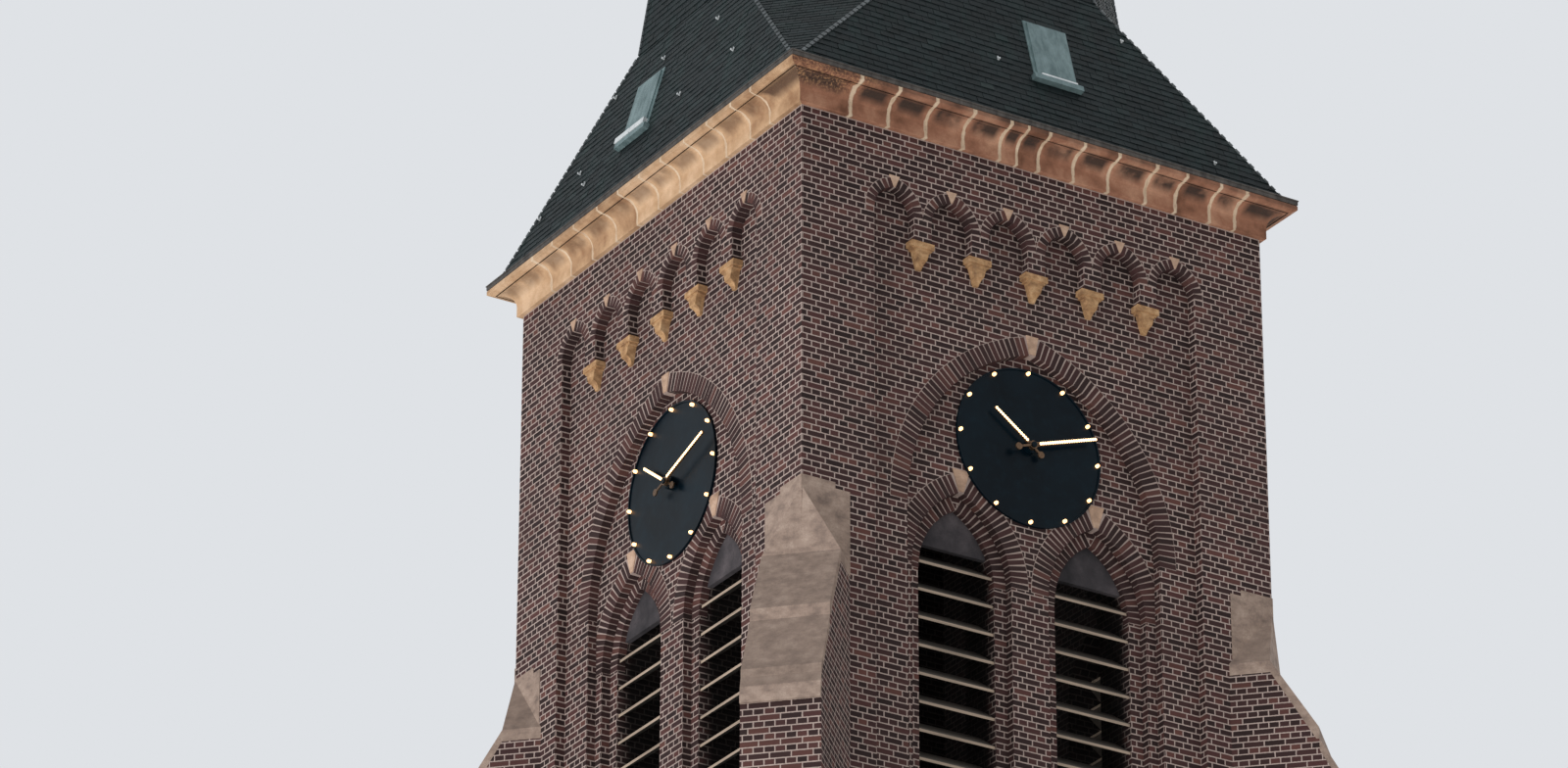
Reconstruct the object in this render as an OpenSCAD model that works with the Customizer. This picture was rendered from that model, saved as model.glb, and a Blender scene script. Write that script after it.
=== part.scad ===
// Brick church tower with a clock on each face, a louvred belfry and a slated spire, at half size.
// Millimetres. The origin is the middle of the base, +Z is up and the front face looks along -Y.

/* [Shaft] */
// Outer width of the square shaft
tower_w = 3000; // [2900:20:3200]
// Thickness of the brick walls
wall_t = 450; // [420:10:500]
// Height of the brick walls, from the ground to the underside of the cornice
wall_top = 17300; // [17200:20:17600]
// Height at which the belfry storey starts
belfry_z = 12200; // [12100:20:12260]
// Thickness of each floor
floor_t = 120; // [80:10:200]
// Height of the middle floor
middle_floor_z = 5000; // [4900:20:5100]

/* [Plinth and bands] */
// Height of the stone plinth
plinth_h = 900; // [800:20:1000]
// How far the plinth stands out of the wall
plinth_proj = 70; // [40:5:100]
// Height of the plinth's sloped top
plinth_slope = 110; // [60:10:160]
// Height of a string course
band_h = 90; // [60:5:130]
// How far a string course stands out of the wall
band_proj = 55; // [30:5:80]
// Height of the sloped top of a string course
band_slope = 50; // [20:5:55]
// Underside of the lower string course
low_band_z = 4860; // [4800:20:4940]
// Underside of the middle string course
mid_band_z = 8560; // [8400:20:8700]

/* [Belfry panel and frieze] */
// Depth of the sunk panel between the corner piers
panel_depth = 61; // [40:1:80]
// Height of the panel's foot above the belfry's floor line
panel_foot = 200; // [180:10:300]
// Height of the sloped stones on the panel's foot
weather_h = 56; // [40:2:70]
// Number of arches in the frieze
bays = 6; // [4:1:6]
// Spacing of the frieze's arches
bay_pitch = 366; // [356:2:372]
// Clear width of a frieze arch
bay_w = 257; // [240:1:270]
// Springing of the frieze's arches, below the wall top
bay_spring = 489; // [470:1:510]
// Rise of the frieze's arches
bay_rise = 150; // [136:1:170]
// Top of the corbels, below the wall top
corbel_top = 621; // [600:1:640]
// Height of a corbel
corbel_h = 150; // [120:5:180]
// Width of a corbel at its top
corbel_w = 144; // [130:2:160]
// Width of a corbel's foot
corbel_foot = 30; // [20:2:50]
// Radius of the hollow under a corbel's nose
corbel_hollow = 46; // [36:1:54]
// Height of a corbel's flat shelf
shelf_h = 34; // [26:2:42]
// Size of the step under a corbel's shelf
shelf_step = 14; // [10:1:18]

/* [Great arch] */
// Half the span of the great arch
arch_half = 807; // [780:1:830]
// Springing of the great arch, below the wall top
arch_spring = 2139; // [2100:1:2180]
// Rise of the great arch
arch_rise = 1059; // [1000:1:1090]
// Depth of the great arch's field behind the panel
field_depth = 56; // [40:1:70]

/* [Lancets] */
// Distance of a lancet's middle from the face's middle
lancet_x = 432; // [420:1:444]
// Half the width of a lancet's outer order
lancet_half = 315; // [300:1:330]
// Springing of the lancets, below the wall top
lancet_spring = 2460; // [2430:1:2500]
// Rise of a lancet's outer order
lancet_rise = 480; // [450:1:500]
// Depth of a lancet's outer order behind the field
order_depth = 54; // [40:1:70]
// Width of a lancet's inner order
order_w = 75; // [60:1:90]
// Height of the lancets' sills above the belfry's floor line
lancet_sill = 500; // [440:10:560]
// Height of the sills' slope
sill_h = 130; // [100:5:160]

/* [Louvres] */
// Spacing of the louvre boards
louvre_pitch = 161; // [150:1:175]
// Thickness of a louvre board
louvre_t = 16; // [12:1:24]
// Depth of a louvre board from front to back, measured level
louvre_depth = 150; // [120:5:180]
// Drop of a louvre board from back to front
louvre_drop = 105; // [80:5:130]
// Front edge of the highest louvre board, below the wall top
louvre_first = 2416; // [2400:1:2430]
// Depth of the boards' front edges behind the lancets' outer order
louvre_set = 12; // [8:1:40]
// Depth of the arch-head panel behind the inner order
head_set = 30; // [20:2:50]
// Thickness of the arch-head panel
head_t = 30; // [20:2:50]
// Foot of the arch-head panel, below the wall top
head_foot = 2300; // [2280:1:2320]

/* [Keystones] */
// Width, height and foot width of the great arch's keystone
key_big = [78, 108, 40];
// Width, height and foot width of a lancet's keystone
key_mid = [108, 126, 30];
// Width, height and foot width of a frieze keystone
key_small = [66, 66, 10];
// How far a keystone stands out of its wall
key_proud = 6; // [2:1:12]

/* [Clock] */
// Height of the dial's middle, below the wall top
dial_drop = 1617; // [1600:1:1630]
// Radius of the dial
dial_r = 461; // [440:1:470]
// Thickness of the dial plate
dial_t = 11; // [8:1:16]
// Width of the dial's raised rim
rim_w = 9; // [6:1:14]
// Height of the dial's rim above the plate
rim_h = 6; // [3:1:9]
// Radius of the ring of lamps
lamp_ring_r = 440; // [420:1:442]
// Radius of a lamp's glass
lamp_r = 10; // [8:0.5:12]
// Height of a lamp's holder
lamp_holder_h = 7; // [5:1:9]
// Radius of the drum behind the hands
drum_r = 38; // [30:1:46]
// Height of the drum
drum_h = 28; // [24:1:34]
// Radius of the arbor that carries the hands
arbor_r = 9; // [7:0.5:12]
// Radius of the cap on the arbor's end
cap_r = 16; // [14:1:20]
// Running clearance between a hand and the arbor
arbor_gap = 0.05; // [0.02:0.01:0.1]
// Thickness of a hand's blade
hand_t = 8; // [6:1:10]
// Clear space between the two hands
hand_gap = 7; // [6:0.5:10]
// Running gap along the arbor
shaft_gap = 0.3; // [0.2:0.1:0.8]
// Radius of a hand's boss
boss_r = 24; // [20:1:30]
// Reach of the minute hand
minute_reach = 428; // [400:1:432]
// Reach of the hour hand
hour_reach = 292; // [270:1:310]
// Width of a hand's blade
hand_w = 24; // [18:1:32]
// Width of a hand's blade at its tip
tip_w = 14; // [12:1:18]
// Width of the lamp bar on a hand
bar_w = 14; // [10:1:18]
// Height of the lamp bar on a hand
bar_h = 5; // [3:1:8]
// Distances of the lamp bar from the boss and from the hand's tip
bar_gap = [8, 12];
// Distance of the counterweight from the arbor, on the minute and on the hour hand
weight_x = [100, 70];
// Radius of the counterweight
weight_r = 20; // [14:1:26]
// Angle of the minute hand, clockwise from twelve
minute_angle = 72; // [0:6:354]
// Angle of the hour hand, clockwise from twelve
hour_angle = 306; // [0:1:359]

/* [Buttresses] */
// Width of a corner buttress
butt_w = 420; // [400:5:440]
// Reach of the buttress beyond the shaft's corner, from the top stage down to the plinth
butt_reach = [452, 462, 620, 780];
// Height of each set-off, from the top stage down
butt_z = [13728, 8560, 4860];
// Height of the sloped stone set-off under a stage
setoff_h = [60, 260, 280];
// Thickness of the stones on the set-offs
setoff_t = [88, 34, 34];
// How far the stones on the slopes reach past the brickwork
setoff_lip = 16; // [10:2:24]
// Head of the top slope: its reach, and its depth below the wall top
slope_head = [10, 2640];
// Foot of the top slope's upper stone, given in the same way
slope_step = [262, 3049];
// Foot of the top slope, below the wall top
slope_foot = 3466; // [3440:2:3500]
// Thickness of the stones on the top slope
coping_t = 68; // [60:2:80]
// Tip of the broach stone, below the wall top
broach_tip = 2250; // [2230:2:2270]
// Length of the stone block at the left and at the right end of the front, right, back and left faces
quoin_long = [[300, 280], [360, 280], [300, 280], [284, 360]];
// Top of that block, below the wall top
quoin_top = [[2220, 2220], [2220, 2220], [2220, 2220], [2290, 2220]];
// Length of the shorter block over it
quoin_short = 210; // [190:2:224]
// Height of the shorter block
quoin_rise = 35; // [28:1:40]
// Foot of those blocks, below the wall top
quoin_foot = 2700; // [2660:2:2706]
// How far those blocks stand out of the wall
quoin_proud = 4; // [2:1:8]

/* [Cornice] */
// Height of the cornice's flat lower band
fascia_h = 64; // [56:2:76]
// Reach of the lower band beyond the wall
fascia_proj = 28; // [20:1:36]
// Radius of the hollow moulding
hollow_r = 84; // [70:2:90]
// Width and height of the small step over the hollow
step_w = 8; // [4:1:12]
// Height of the sloped face under the upper band
splay_h = 12; // [6:1:16]
// Height of the cornice's upper band
cornice_top_h = 26; // [18:2:40]
// Reach of the upper band beyond the wall
cornice_proj = 156; // [146:2:170]
// Height of the metal gutter
gutter_h = 36; // [26:2:46]
// Thickness of the gutter's metal
gutter_t = 6; // [4:1:10]
// Width of the gutter
gutter_w = 30; // [24:2:44]

/* [Roof] */
// Thickness of the boarded and slated roof
roof_t = 60; // [50:5:80]
// Height of the neck above the wall top
neck_h = 1305; // [1260:5:1380]
// Half the width of the eight-sided neck
neck_r = 1314; // [1270:2:1340]
// Height of the spire's tip above the wall top
tip_h = 11250; // [10500:50:11500]
// Width of a roof hatch's frame round its lid
hatch_rim = 18; // [12:1:26]
// Width of a roof hatch
hatch_w = 250; // [220:5:280]
// Height of a roof hatch, measured level with the wall
hatch_h = 400; // [360:5:440]
// Foot of the roof hatches above the wall top
hatch_z = 590; // [560:5:620]
// How far a hatch stands out of the slates
hatch_proud = 22; // [14:1:34]
// Middle of the hatch from the face's middle, for the front, right, back and left faces
hatch_x = [135, 0, 0, -235];

/* [Finial] */
// Height of the finial above the spire's lead cap
finial_h = 900; // [700:20:1100]
// Radius of the finial's ball
ball_r = 95; // [80:5:120]
// Radius of the finial's rod
rod_r = 18; // [14:1:26]
// Radius of the collar on the ball
collar_r = 36; // [30:1:44]
// Height of the lead cap on the spire's tip
lead_h = 700; // [600:20:800]
// How far the lead cap stands out of the slates
lead_proud = 8; // [4:1:14]
// How far the roll round the lead cap's foot stands out of the cap
lead_roll = 20; // [12:1:28]
// Reach of the arms of the finial's cross
cross_r = 190; // [150:5:240]
// Radius of the knobs on the cross
knob_r = 29; // [24:1:36]

/* [Door and windows] */
// Half the width of the doorway
door_half = 420; // [400:5:460]
// Springing of the doorway
door_spring = 1300; // [1250:10:1350]
// Rise of the doorway's arch
door_rise = 640; // [600:10:680]
// Width of the stone surround of the doorway
door_trim = 110; // [90:5:130]
// How far the surround stands out of the wall
door_trim_proud = 50; // [40:2:66]
// Depth of the door leaves behind the wall face
door_set = 200; // [180:5:240]
// Thickness of the door leaves
door_t = 45; // [35:1:60]
// Number of boards in a door leaf
door_boards = 4; // [3:1:5]
// Width and depth of the grooves between the boards
door_groove = 7; // [5:1:9]
// Gap between the two door leaves
door_gap = 4; // [3:1:6]
// Height of the stone threshold
step_h = 60; // [40:5:80]
// Half the width of a slit window
slit_half = 120; // [100:5:140]
// Height of a slit window's straight part
slit_h = 820; // [760:10:900]
// Rise of a slit window's arch
slit_rise = 190; // [170:5:220]
// Sills of the slit windows
slit_z = [6350, 9950];
// Depth of the glass behind the wall face
glass_set = 170; // [140:5:200]
// Thickness of the glass in its leads
glass_t = 12; // [8:1:20]
// Height of a window's sloped stone sill
slit_sill_h = 80; // [60:5:100]
// How far a window's sill stands out of the wall
slit_sill_proud = 30; // [20:2:40]

/* [Hidden] */
$fn = 64;
eps = 1;
FRONT = 0;
RIGHT = 90;
BACK = 180;
LEFT = 270;
FACES = [FRONT, RIGHT, BACK, LEFT];
half_w = tower_w / 2;
inner = half_w - wall_t;
corner = half_w * sqrt(2);
brick = "#5e4440";
pale_stone = "#b9aaa0";
cream_stone = "#cfb894";
ochre = "#c99a52";
slate = "#1d2a2c";
lead = "#54585a";
navy = "#141d2a";
cornice_z = wall_top;
hollow_z = cornice_z + fascia_h;
soffit_z = hollow_z + hollow_r;
cornice_top = soffit_z + splay_h + cornice_top_h;
eaves_half = half_w + cornice_proj - gutter_w;
neck_z = wall_top + neck_h;
tip_z = wall_top + tip_h;
field_at = panel_depth + field_depth;
order_at = field_at + order_depth;
sill_z = belfry_z + lancet_sill;
open_half = lancet_half - order_w;
lancet_r = arch_radius(lancet_half, lancet_rise);
open_rise = sqrt(pow(lancet_r - order_w, 2) - pow(lancet_r - lancet_half, 2));
dial_z = wall_top - dial_drop;
dial_face = field_at - dial_t;
hour_at = dial_face - drum_h - shaft_gap;
minute_at = hour_at - hand_t - hand_gap;
head_at = [slope_head[0], wall_top - slope_head[1]];
step_at = [slope_step[0], wall_top - slope_step[1]];
foot_at = [butt_reach[0], wall_top - slope_foot];
cap_h = 8;
band_drip = 14;
door_block = 12;

// The points of an outline's right half, bottom to top, with the same points mirrored on the left
function symmetric(points) = concat(points, [for (i = [len(points) - 1 : -1 : 0]) [-points[i][0], points[i][1]]]);
function arch_radius(half, rise) = (half * half + rise * rise) / (2 * half);
function half_at(z) = eaves_half + (neck_r - eaves_half) * (z - cornice_top) / (neck_z - cornice_top);
// The point a stone's thickness below a point of the top slope, and back from it
function under(point, back = 0) = [point[0] - back, point[1] - coping_t];

// A pointed opening: two arcs that meet at the apex, over straight jambs that run down from the springing
module pointed(half, rise, down) {
    r = arch_radius(half, rise);
    intersection() {
        translate([r - half, 0]) circle(r, $fn = 128);
        translate([half - r, 0]) circle(r, $fn = 128);
    }
    translate([-half, -down]) square([2 * half, down]);
}

// Turns a part drawn for the front face to another face
module on(face) {
    rotate([0, 0, face]) children();
}

// Pushes an outline drawn across the front face in from y = -from to y = -to
module across(from, to) {
    translate([0, -to, 0]) rotate([90, 0, 0]) linear_extrude(from - to) children();
}

// Cuts an outline into the front face to a depth
module cut(depth) {
    across(half_w + eps, half_w - depth) children();
}

// The plan of one wall, mitred at both corners
module wall_block(z0, z1) {
    translate([0, 0, z0]) linear_extrude(z1 - z0)
        polygon([[-half_w, -half_w], [half_w, -half_w], [inner, -inner], [-inner, -inner]]);
}

// A square ring round the shaft, with an outline drawn across it and a square hole down its middle
module square_ring(hole) {
    difference() {
        for_sides(0) children();
        translate([-hole, -hole, -eps]) cube([2 * hole, 2 * hole, wall_top + tip_h]);
    }
}

// The belfry storey of one face

module frieze_bays() {
    for (i = [0 : bays - 1])
        translate([(i - (bays - 1) / 2) * bay_pitch, wall_top - bay_spring])
            pointed(bay_w / 2, bay_rise, corbel_top - bay_spring + eps);
}

module panel_outline() {
    panel_w = (bays - 1) * bay_pitch + bay_w;
    frieze_bays();
    translate([-panel_w / 2, belfry_z + panel_foot])
        square([panel_w, wall_top - corbel_top - belfry_z - panel_foot]);
}

module great_arch_outline() {
    translate([0, wall_top - arch_spring]) pointed(arch_half, arch_rise, wall_top - arch_spring - sill_z);
}

module lancet_pair(half, rise, down) {
    for (side = [-1, 1])
        translate([side * lancet_x, wall_top - lancet_spring]) pointed(half, rise, down);
}

module belfry_wall(face) {
    sill_down = wall_top - lancet_spring - sill_z;
    color(brick) on(face) difference() {
        wall_block(belfry_z, wall_top);
        cut(panel_depth) panel_outline();
        cut(field_at) great_arch_outline();
        cut(order_at) lancet_pair(lancet_half, lancet_rise, sill_down);
        cut(wall_t + eps) lancet_pair(open_half, open_rise, sill_down);
    }
}

module corbels() {
    color(ochre) for (face = FACES) on(face)
        for (i = [1 : bays - 1]) translate([(i - bays / 2) * bay_pitch, 0, wall_top - corbel_top]) corbel();
}

// A corbel: a moulded shelf over a body that tapers down to a blunt point
module corbel() {
    half = corbel_w / 2;
    neck = shelf_h + shelf_step;
    intersection() {
        across(half_w, half_w - panel_depth)
            polygon(symmetric([[corbel_foot / 2, -corbel_h], [half - 2 * shelf_step, -neck], [half - shelf_step, -neck],
                [half - shelf_step, -shelf_h], [half, -shelf_h], [half, 0]]));
        rotate([90, 0, 90]) linear_extrude(corbel_w, center = true)
            translate([-half_w, -corbel_h]) difference() {
                square([panel_depth, corbel_h]);
                circle(corbel_hollow);
                translate([-eps, -eps]) square([shelf_step / 2 + eps, corbel_h - shelf_h + eps]);
            }
    }
}

// A keystone: a wedge wider at its top, bedded in the wall
module keystone(size, depth) {
    across(half_w - depth + key_proud, half_w - depth)
        polygon([[-size[0] / 2, size[1] / 2], [size[0] / 2, size[1] / 2],
            [size[2] / 2, -size[1] / 2], [-size[2] / 2, -size[1] / 2]]);
}

module keystones() {
    color(pale_stone) for (face = FACES) on(face) {
        translate([0, 0, wall_top - arch_spring + arch_rise + key_big[1] / 2]) keystone(key_big, panel_depth);
        difference() {
            for (side = [-1, 1])
                translate([side * lancet_x, 0, wall_top - lancet_spring + lancet_rise + key_mid[1] / 2])
                    keystone(key_mid, field_at);
            at_dial(field_at + eps) cylinder(h = dial_t + rim_h, r = dial_r + eps, $fn = 128);
        }
        for (i = [0 : bays - 1])
            translate([(i - (bays - 1) / 2) * bay_pitch, 0, wall_top - bay_spring + bay_rise + key_small[1] / 2])
                keystone(key_small, 0);
    }
}

// A sill across the front face, from [depth behind the face, height] points
module sill(half, points) {
    translate([0, -half_w, 0]) rotate([90, 0, 90]) linear_extrude(2 * half, center = true) polygon(points);
}

module lancet_sills() {
    panel_w = (bays - 1) * bay_pitch + bay_w;
    color(pale_stone) for (face = FACES) on(face) {
        for (side = [-1, 1]) translate([side * lancet_x, 0, sill_z]) {
            sill(open_half, [[order_at, 0], [wall_t, 0], [wall_t, sill_h], [order_at, sill_h / 3]]);
            sill(lancet_half, [[field_at, 0], [order_at, 0], [order_at, sill_h / 3], [field_at, sill_h / 6]]);
        }
        translate([0, 0, belfry_z + panel_foot]) sill(panel_w / 2, [[0, 0], [panel_depth, 0], [panel_depth, weather_h]]);
        for (z = slit_z) translate([0, 0, z]) {
            sill(slit_half, [[0, 0], [glass_set + glass_t, 0], [glass_set + glass_t, slit_sill_h], [0, slit_sill_h / 2]]);
            sill(slit_half + slit_sill_proud, [[-slit_sill_proud, 0], [0, 0], [0, slit_sill_h / 2],
                [-slit_sill_proud, slit_sill_h / 4]]);
        }
    }
}

// One louvre board slopes down towards the outside and is as long as the opening is wide
module louvre_board() {
    front = half_w - order_at - louvre_set;
    rotate([90, 0, 90]) linear_extrude(2 * open_half, center = true)
        polygon([[-front, 0], [-front + louvre_depth, louvre_drop],
            [-front + louvre_depth, louvre_drop + louvre_t], [-front, louvre_t]]);
}

module louvres(face) {
    top = wall_top - louvre_first;
    last = sill_z + sill_h / 2;
    color("#77736c") on(face) intersection() {
        for (side = [-1, 1], z = [top : -louvre_pitch : last]) translate([side * lancet_x, 0, z]) louvre_board();
        across(half_w, inner) lancet_pair(open_half, open_rise, wall_top - lancet_spring - sill_z);
    }
}

module arch_head_panels() {
    color("#8a8582") for (face = FACES) on(face)
        across(half_w - order_at - head_set, half_w - order_at - head_set - head_t)
            intersection() {
                lancet_pair(open_half, open_rise, eps);
                translate([-half_w, wall_top - head_foot]) square([tower_w, head_foot]);
            }
}

// The lower storeys

module doorway_outline(grow, foot = 0) {
    r = arch_radius(door_half, door_rise);
    translate([0, door_spring])
        pointed(door_half + grow, sqrt(pow(r + grow, 2) - pow(r - door_half, 2)), door_spring - foot);
}

module slit_outline() {
    for (z = slit_z) translate([0, z + slit_h]) pointed(slit_half, slit_rise, slit_h);
}

module lower_wall(face) {
    color(brick) on(face) difference() {
        wall_block(0, belfry_z);
        cut(wall_t + eps) slit_outline();
        if (face == FRONT) cut(wall_t + eps) doorway_outline(0, -eps);
    }
}

module plinth_outline(half) {
    polygon(symmetric([[half + plinth_proj, 0], [half + plinth_proj, plinth_h - plinth_slope], [half, plinth_h]]));
}

module plinth() {
    color(pale_stone) difference() {
        union() {
            square_ring(half_w) plinth_outline(half_w);
            for (face = FACES) intersection() {
                diagonal(face, tower_w) plinth_outline(butt_reach[3]);
                crosswise(face) plinth_outline(butt_w / 2);
            }
        }
        shaft_block();
        for (face = FACES) buttress_bar(face, plinth_h + eps);
        across(tower_w, half_w - eps) doorway_outline(door_trim, -eps);
    }
}

module ring_band(z) {
    square_ring(half_w)
        polygon(symmetric([[half_w + band_proj - band_drip, z], [half_w + band_proj, z + band_drip],
            [half_w + band_proj, z + band_h - band_slope], [half_w, z + band_h]]));
}

module string_courses() {
    color(pale_stone) difference() {
        union() {
            ring_band(low_band_z);
            ring_band(mid_band_z);
            ring_band(belfry_z);
        }
        for (face = FACES) buttress_bar(face, wall_top);
    }
}

module floor_slab(z) {
    color("#8d8880") translate([-inner, -inner, z]) cube([2 * inner, 2 * inner, floor_t]);
}

// The stone arch round the doorway, with a plinth block under each side and the threshold between them
module doorway_surround() {
    block = door_trim + door_block;
    color(pale_stone) difference() {
        union() {
            across(half_w + door_trim_proud, half_w) doorway_outline(door_trim);
            across(half_w + door_trim_proud + door_block, half_w)
                translate([-door_half - door_trim, 0]) square([2 * (door_half + door_trim), plinth_h - plinth_slope]);
        }
        across(tower_w, half_w - eps) doorway_outline(0, -eps);
    }
    color(pale_stone) across(half_w + door_trim_proud, half_w - door_set - door_t)
        translate([-door_half, 0]) square([2 * door_half, step_h]);
}

// Two leaves of boards, with a groove between each board and the next
module door() {
    pitch = (door_half - door_gap / 2) / door_boards;
    color("#3a2c22") difference() {
        across(half_w - door_set, half_w - door_set - door_t) doorway_outline(0, step_h);
        across(half_w, inner) translate([-door_gap / 2, 0]) square([door_gap, door_spring + door_rise]);
        for (side = [-1, 1], i = [1 : door_boards - 1])
            across(half_w, half_w - door_set - door_groove)
                translate([side * (door_gap / 2 + i * pitch) - door_groove / 2, 0])
                    square([door_groove, door_spring + door_rise]);
    }
}

module window_glass() {
    color("#20282c") for (face = FACES) on(face)
        across(half_w - glass_set, half_w - glass_set - glass_t) difference() {
            slit_outline();
            for (z = slit_z) translate([-slit_half, z]) square([2 * slit_half, slit_sill_h]);
        }
}

// The corner buttresses, drawn along the front left diagonal

// An outline of [reach, z] points carried across the width of a buttress
module diagonal(face, width) {
    rotate([0, 0, face - 135]) translate([0, width / 2, 0]) rotate([90, 0, 0]) linear_extrude(width)
        translate([corner, 0]) children();
}

// An outline of [sideways, z] points carried along the length of a buttress
module crosswise(face) {
    rotate([0, 0, face - 135]) rotate([90, 0, 90]) linear_extrude(2 * corner) children();
}

module buttress_bar(face, z1) {
    diagonal(face, butt_w) translate([-half_w, -eps]) square([half_w + butt_reach[3], z1 + eps]);
}

module shaft_block() {
    translate([-half_w, -half_w, -eps]) cube([tower_w, tower_w, wall_top + 2 * eps]);
}

// The brickwork's outline, up to the underside of the stones on its slopes
module brick_outline() {
    steps = [for (i = [2 : -1 : 0]) each [[butt_reach[i + 1], butt_z[i] - setoff_t[i]],
        [butt_reach[i], butt_z[i] + setoff_h[i] - setoff_t[i]]]];
    polygon(concat([[-wall_t, 0], [butt_reach[3], 0]], steps,
        [under(foot_at), under(under(step_at)), under(step_at), under(step_at, setoff_lip), under(head_at),
            [-wall_t, under(head_at)[1]]]));
}

// The two blocks at each end of the front face
module broach_quoins(lengths, tops) {
    across(half_w + quoin_proud, half_w - eps)
        for (end = [0, 1], block = [[lengths[end], tops[end]], [quoin_short, tops[end] - quoin_rise]])
            translate([(2 * end - 1) * (half_w + quoin_proud - block[0] / 2), wall_top - (block[1] + quoin_foot) / 2])
                square([block[0], quoin_foot - block[1]], center = true);
}

module buttress(face) {
    color(brick) difference() {
        diagonal(face, butt_w) brick_outline();
        shaft_block();
    }
}

// The stone on the set-off under stage i, with a bevelled lip past the brickwork at its foot
module setoff(i) {
    reach = butt_reach[i + 1];
    z = butt_z[i];
    polygon([[reach, z - setoff_t[i]], [reach + setoff_lip, z - setoff_t[i]], [reach + setoff_lip, z - setoff_t[i] / 2],
        [reach + setoff_lip / 2, z], [butt_reach[i], z + setoff_h[i]], [butt_reach[i], z + setoff_h[i] - setoff_t[i]]]);
}

// The stone on a buttress: the set-offs, the two stones of the top slope, the broach that leans on the corner
// and the blocks in the wall on both sides of the broach
module buttress_copings() {
    head = head_at[1];
    color(pale_stone) for (face = FACES) difference() {
        union() {
            diagonal(face, butt_w) {
                for (i = [0 : 2]) setoff(i);
                polygon([head_at, step_at, under(step_at), under(step_at, setoff_lip), under(head_at)]);
                polygon([under(step_at), foot_at, under(foot_at), under(under(step_at))]);
                translate([-wall_t, head - coping_t]) square([wall_t + head_at[0], coping_t]);
            }
            on(face) broach_quoins(quoin_long[face / 90], quoin_top[face / 90]);
            intersection() {
                diagonal(face, butt_w)
                    polygon([[-wall_t, head - eps], [head_at[0], head - eps], head_at,
                        [0, wall_top - broach_tip], [-wall_t, wall_top - broach_tip]]);
                crosswise(face) polygon([[-butt_w / 2, head - eps], [butt_w / 2, head - eps], [butt_w / 2, head],
                    [0, wall_top - broach_tip], [-butt_w / 2, head]]);
            }
        }
        shaft_block();
    }
}

// The cornice, the gutter and the roof

module cornice() {
    reach = half_w + cornice_proj;
    low = half_w + fascia_proj;
    soffit = low + hollow_r + step_w;
    color(cream_stone) square_ring(inner) difference() {
        polygon(symmetric([[low, cornice_z], [low, hollow_z], [soffit, hollow_z], [soffit, soffit_z],
            [reach, soffit_z + splay_h], [reach, cornice_top]]));
        for (side = [-1, 1]) translate([side * (low + hollow_r), hollow_z]) {
            circle(hollow_r);
            translate([(side - 1) / 2 * (step_w + eps), -eps]) square([step_w + eps, hollow_r + eps - step_w]);
        }
    }
}

module gutter() {
    reach = half_w + cornice_proj;
    color(lead) square_ring(eaves_half + gutter_t)
        polygon(symmetric([[reach + gutter_t, cornice_top], [reach + gutter_t, cornice_top + gutter_h],
            [reach, cornice_top + gutter_h], [reach, cornice_top + gutter_t]]));
}

// A square solid that has the same outline seen from the front and from the right
module for_sides(turn) {
    intersection() {
        rotate([90, 0, turn]) linear_extrude(4 * tower_w, center = true) children();
        rotate([90, 0, turn + 90]) linear_extrude(4 * tower_w, center = true) children();
    }
}

// A solid with four square sides and four corner sides, each with its own outline
module eight_sided() {
    intersection() {
        for_sides(0) children(0);
        for_sides(45) children(1);
    }
}

// The lower roof, square at the eaves and eight-sided at the neck, drawn in by inset and run past both ends by over
module roof_solid(inset, over) {
    eaves = eaves_half - inset;
    neck = neck_r - inset;
    eight_sided() {
        roof_side(eaves, neck, over);
        roof_side(eaves * sqrt(2), neck, over);
    }
}

module roof_side(eaves, neck, over) {
    below = over > 0 ? [[eaves, cornice_top - over]] : [];
    above = over > 0 ? [[neck, neck_z + over]] : [];
    polygon(symmetric(concat(below, [[eaves, cornice_top], [neck, neck_z]], above)));
}

module lower_roof() {
    color(slate) difference() {
        roof_solid(0, 0);
        roof_solid(roof_t, eps);
    }
}

module needle(r, z0, z1) {
    eight_sided() {
        polygon([[r, z0], [0, z1], [-r, z0]]);
        polygon([[r, z0], [0, z1], [-r, z0]]);
    }
}

module spire() {
    color(slate) difference() {
        needle(neck_r, neck_z, tip_z);
        needle(neck_r - roof_t, neck_z - eps, tip_z - lead_h - 2 * roof_t);
        translate([-half_w, -half_w, tip_z - lead_h]) cube([tower_w, tower_w, lead_h + eps]);
    }
}

// A hatch: a lid in a low frame on the slates, over a sill
module roof_hatches() {
    tilt = atan((eaves_half - neck_r) / (neck_z - cornice_top));
    z = wall_top + hatch_z;
    wide = hatch_w + 4 * hatch_rim;
    color(lead) for (i = [0 : 3]) on(FACES[i])
        translate([hatch_x[i], -half_at(z), z]) rotate([-tilt, 0, 0]) {
            translate([-hatch_w / 2, -hatch_proud, 0]) cube([hatch_w, hatch_proud, hatch_h]);
            translate([-hatch_w / 2 - hatch_rim, -hatch_proud / 2, 0])
                cube([hatch_w + 2 * hatch_rim, hatch_proud / 2, hatch_h + hatch_rim]);
            translate([-wide / 2, -hatch_proud - hatch_rim, -2 * hatch_rim])
                cube([wide, hatch_proud + hatch_rim, 2 * hatch_rim]);
        }
}

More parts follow.
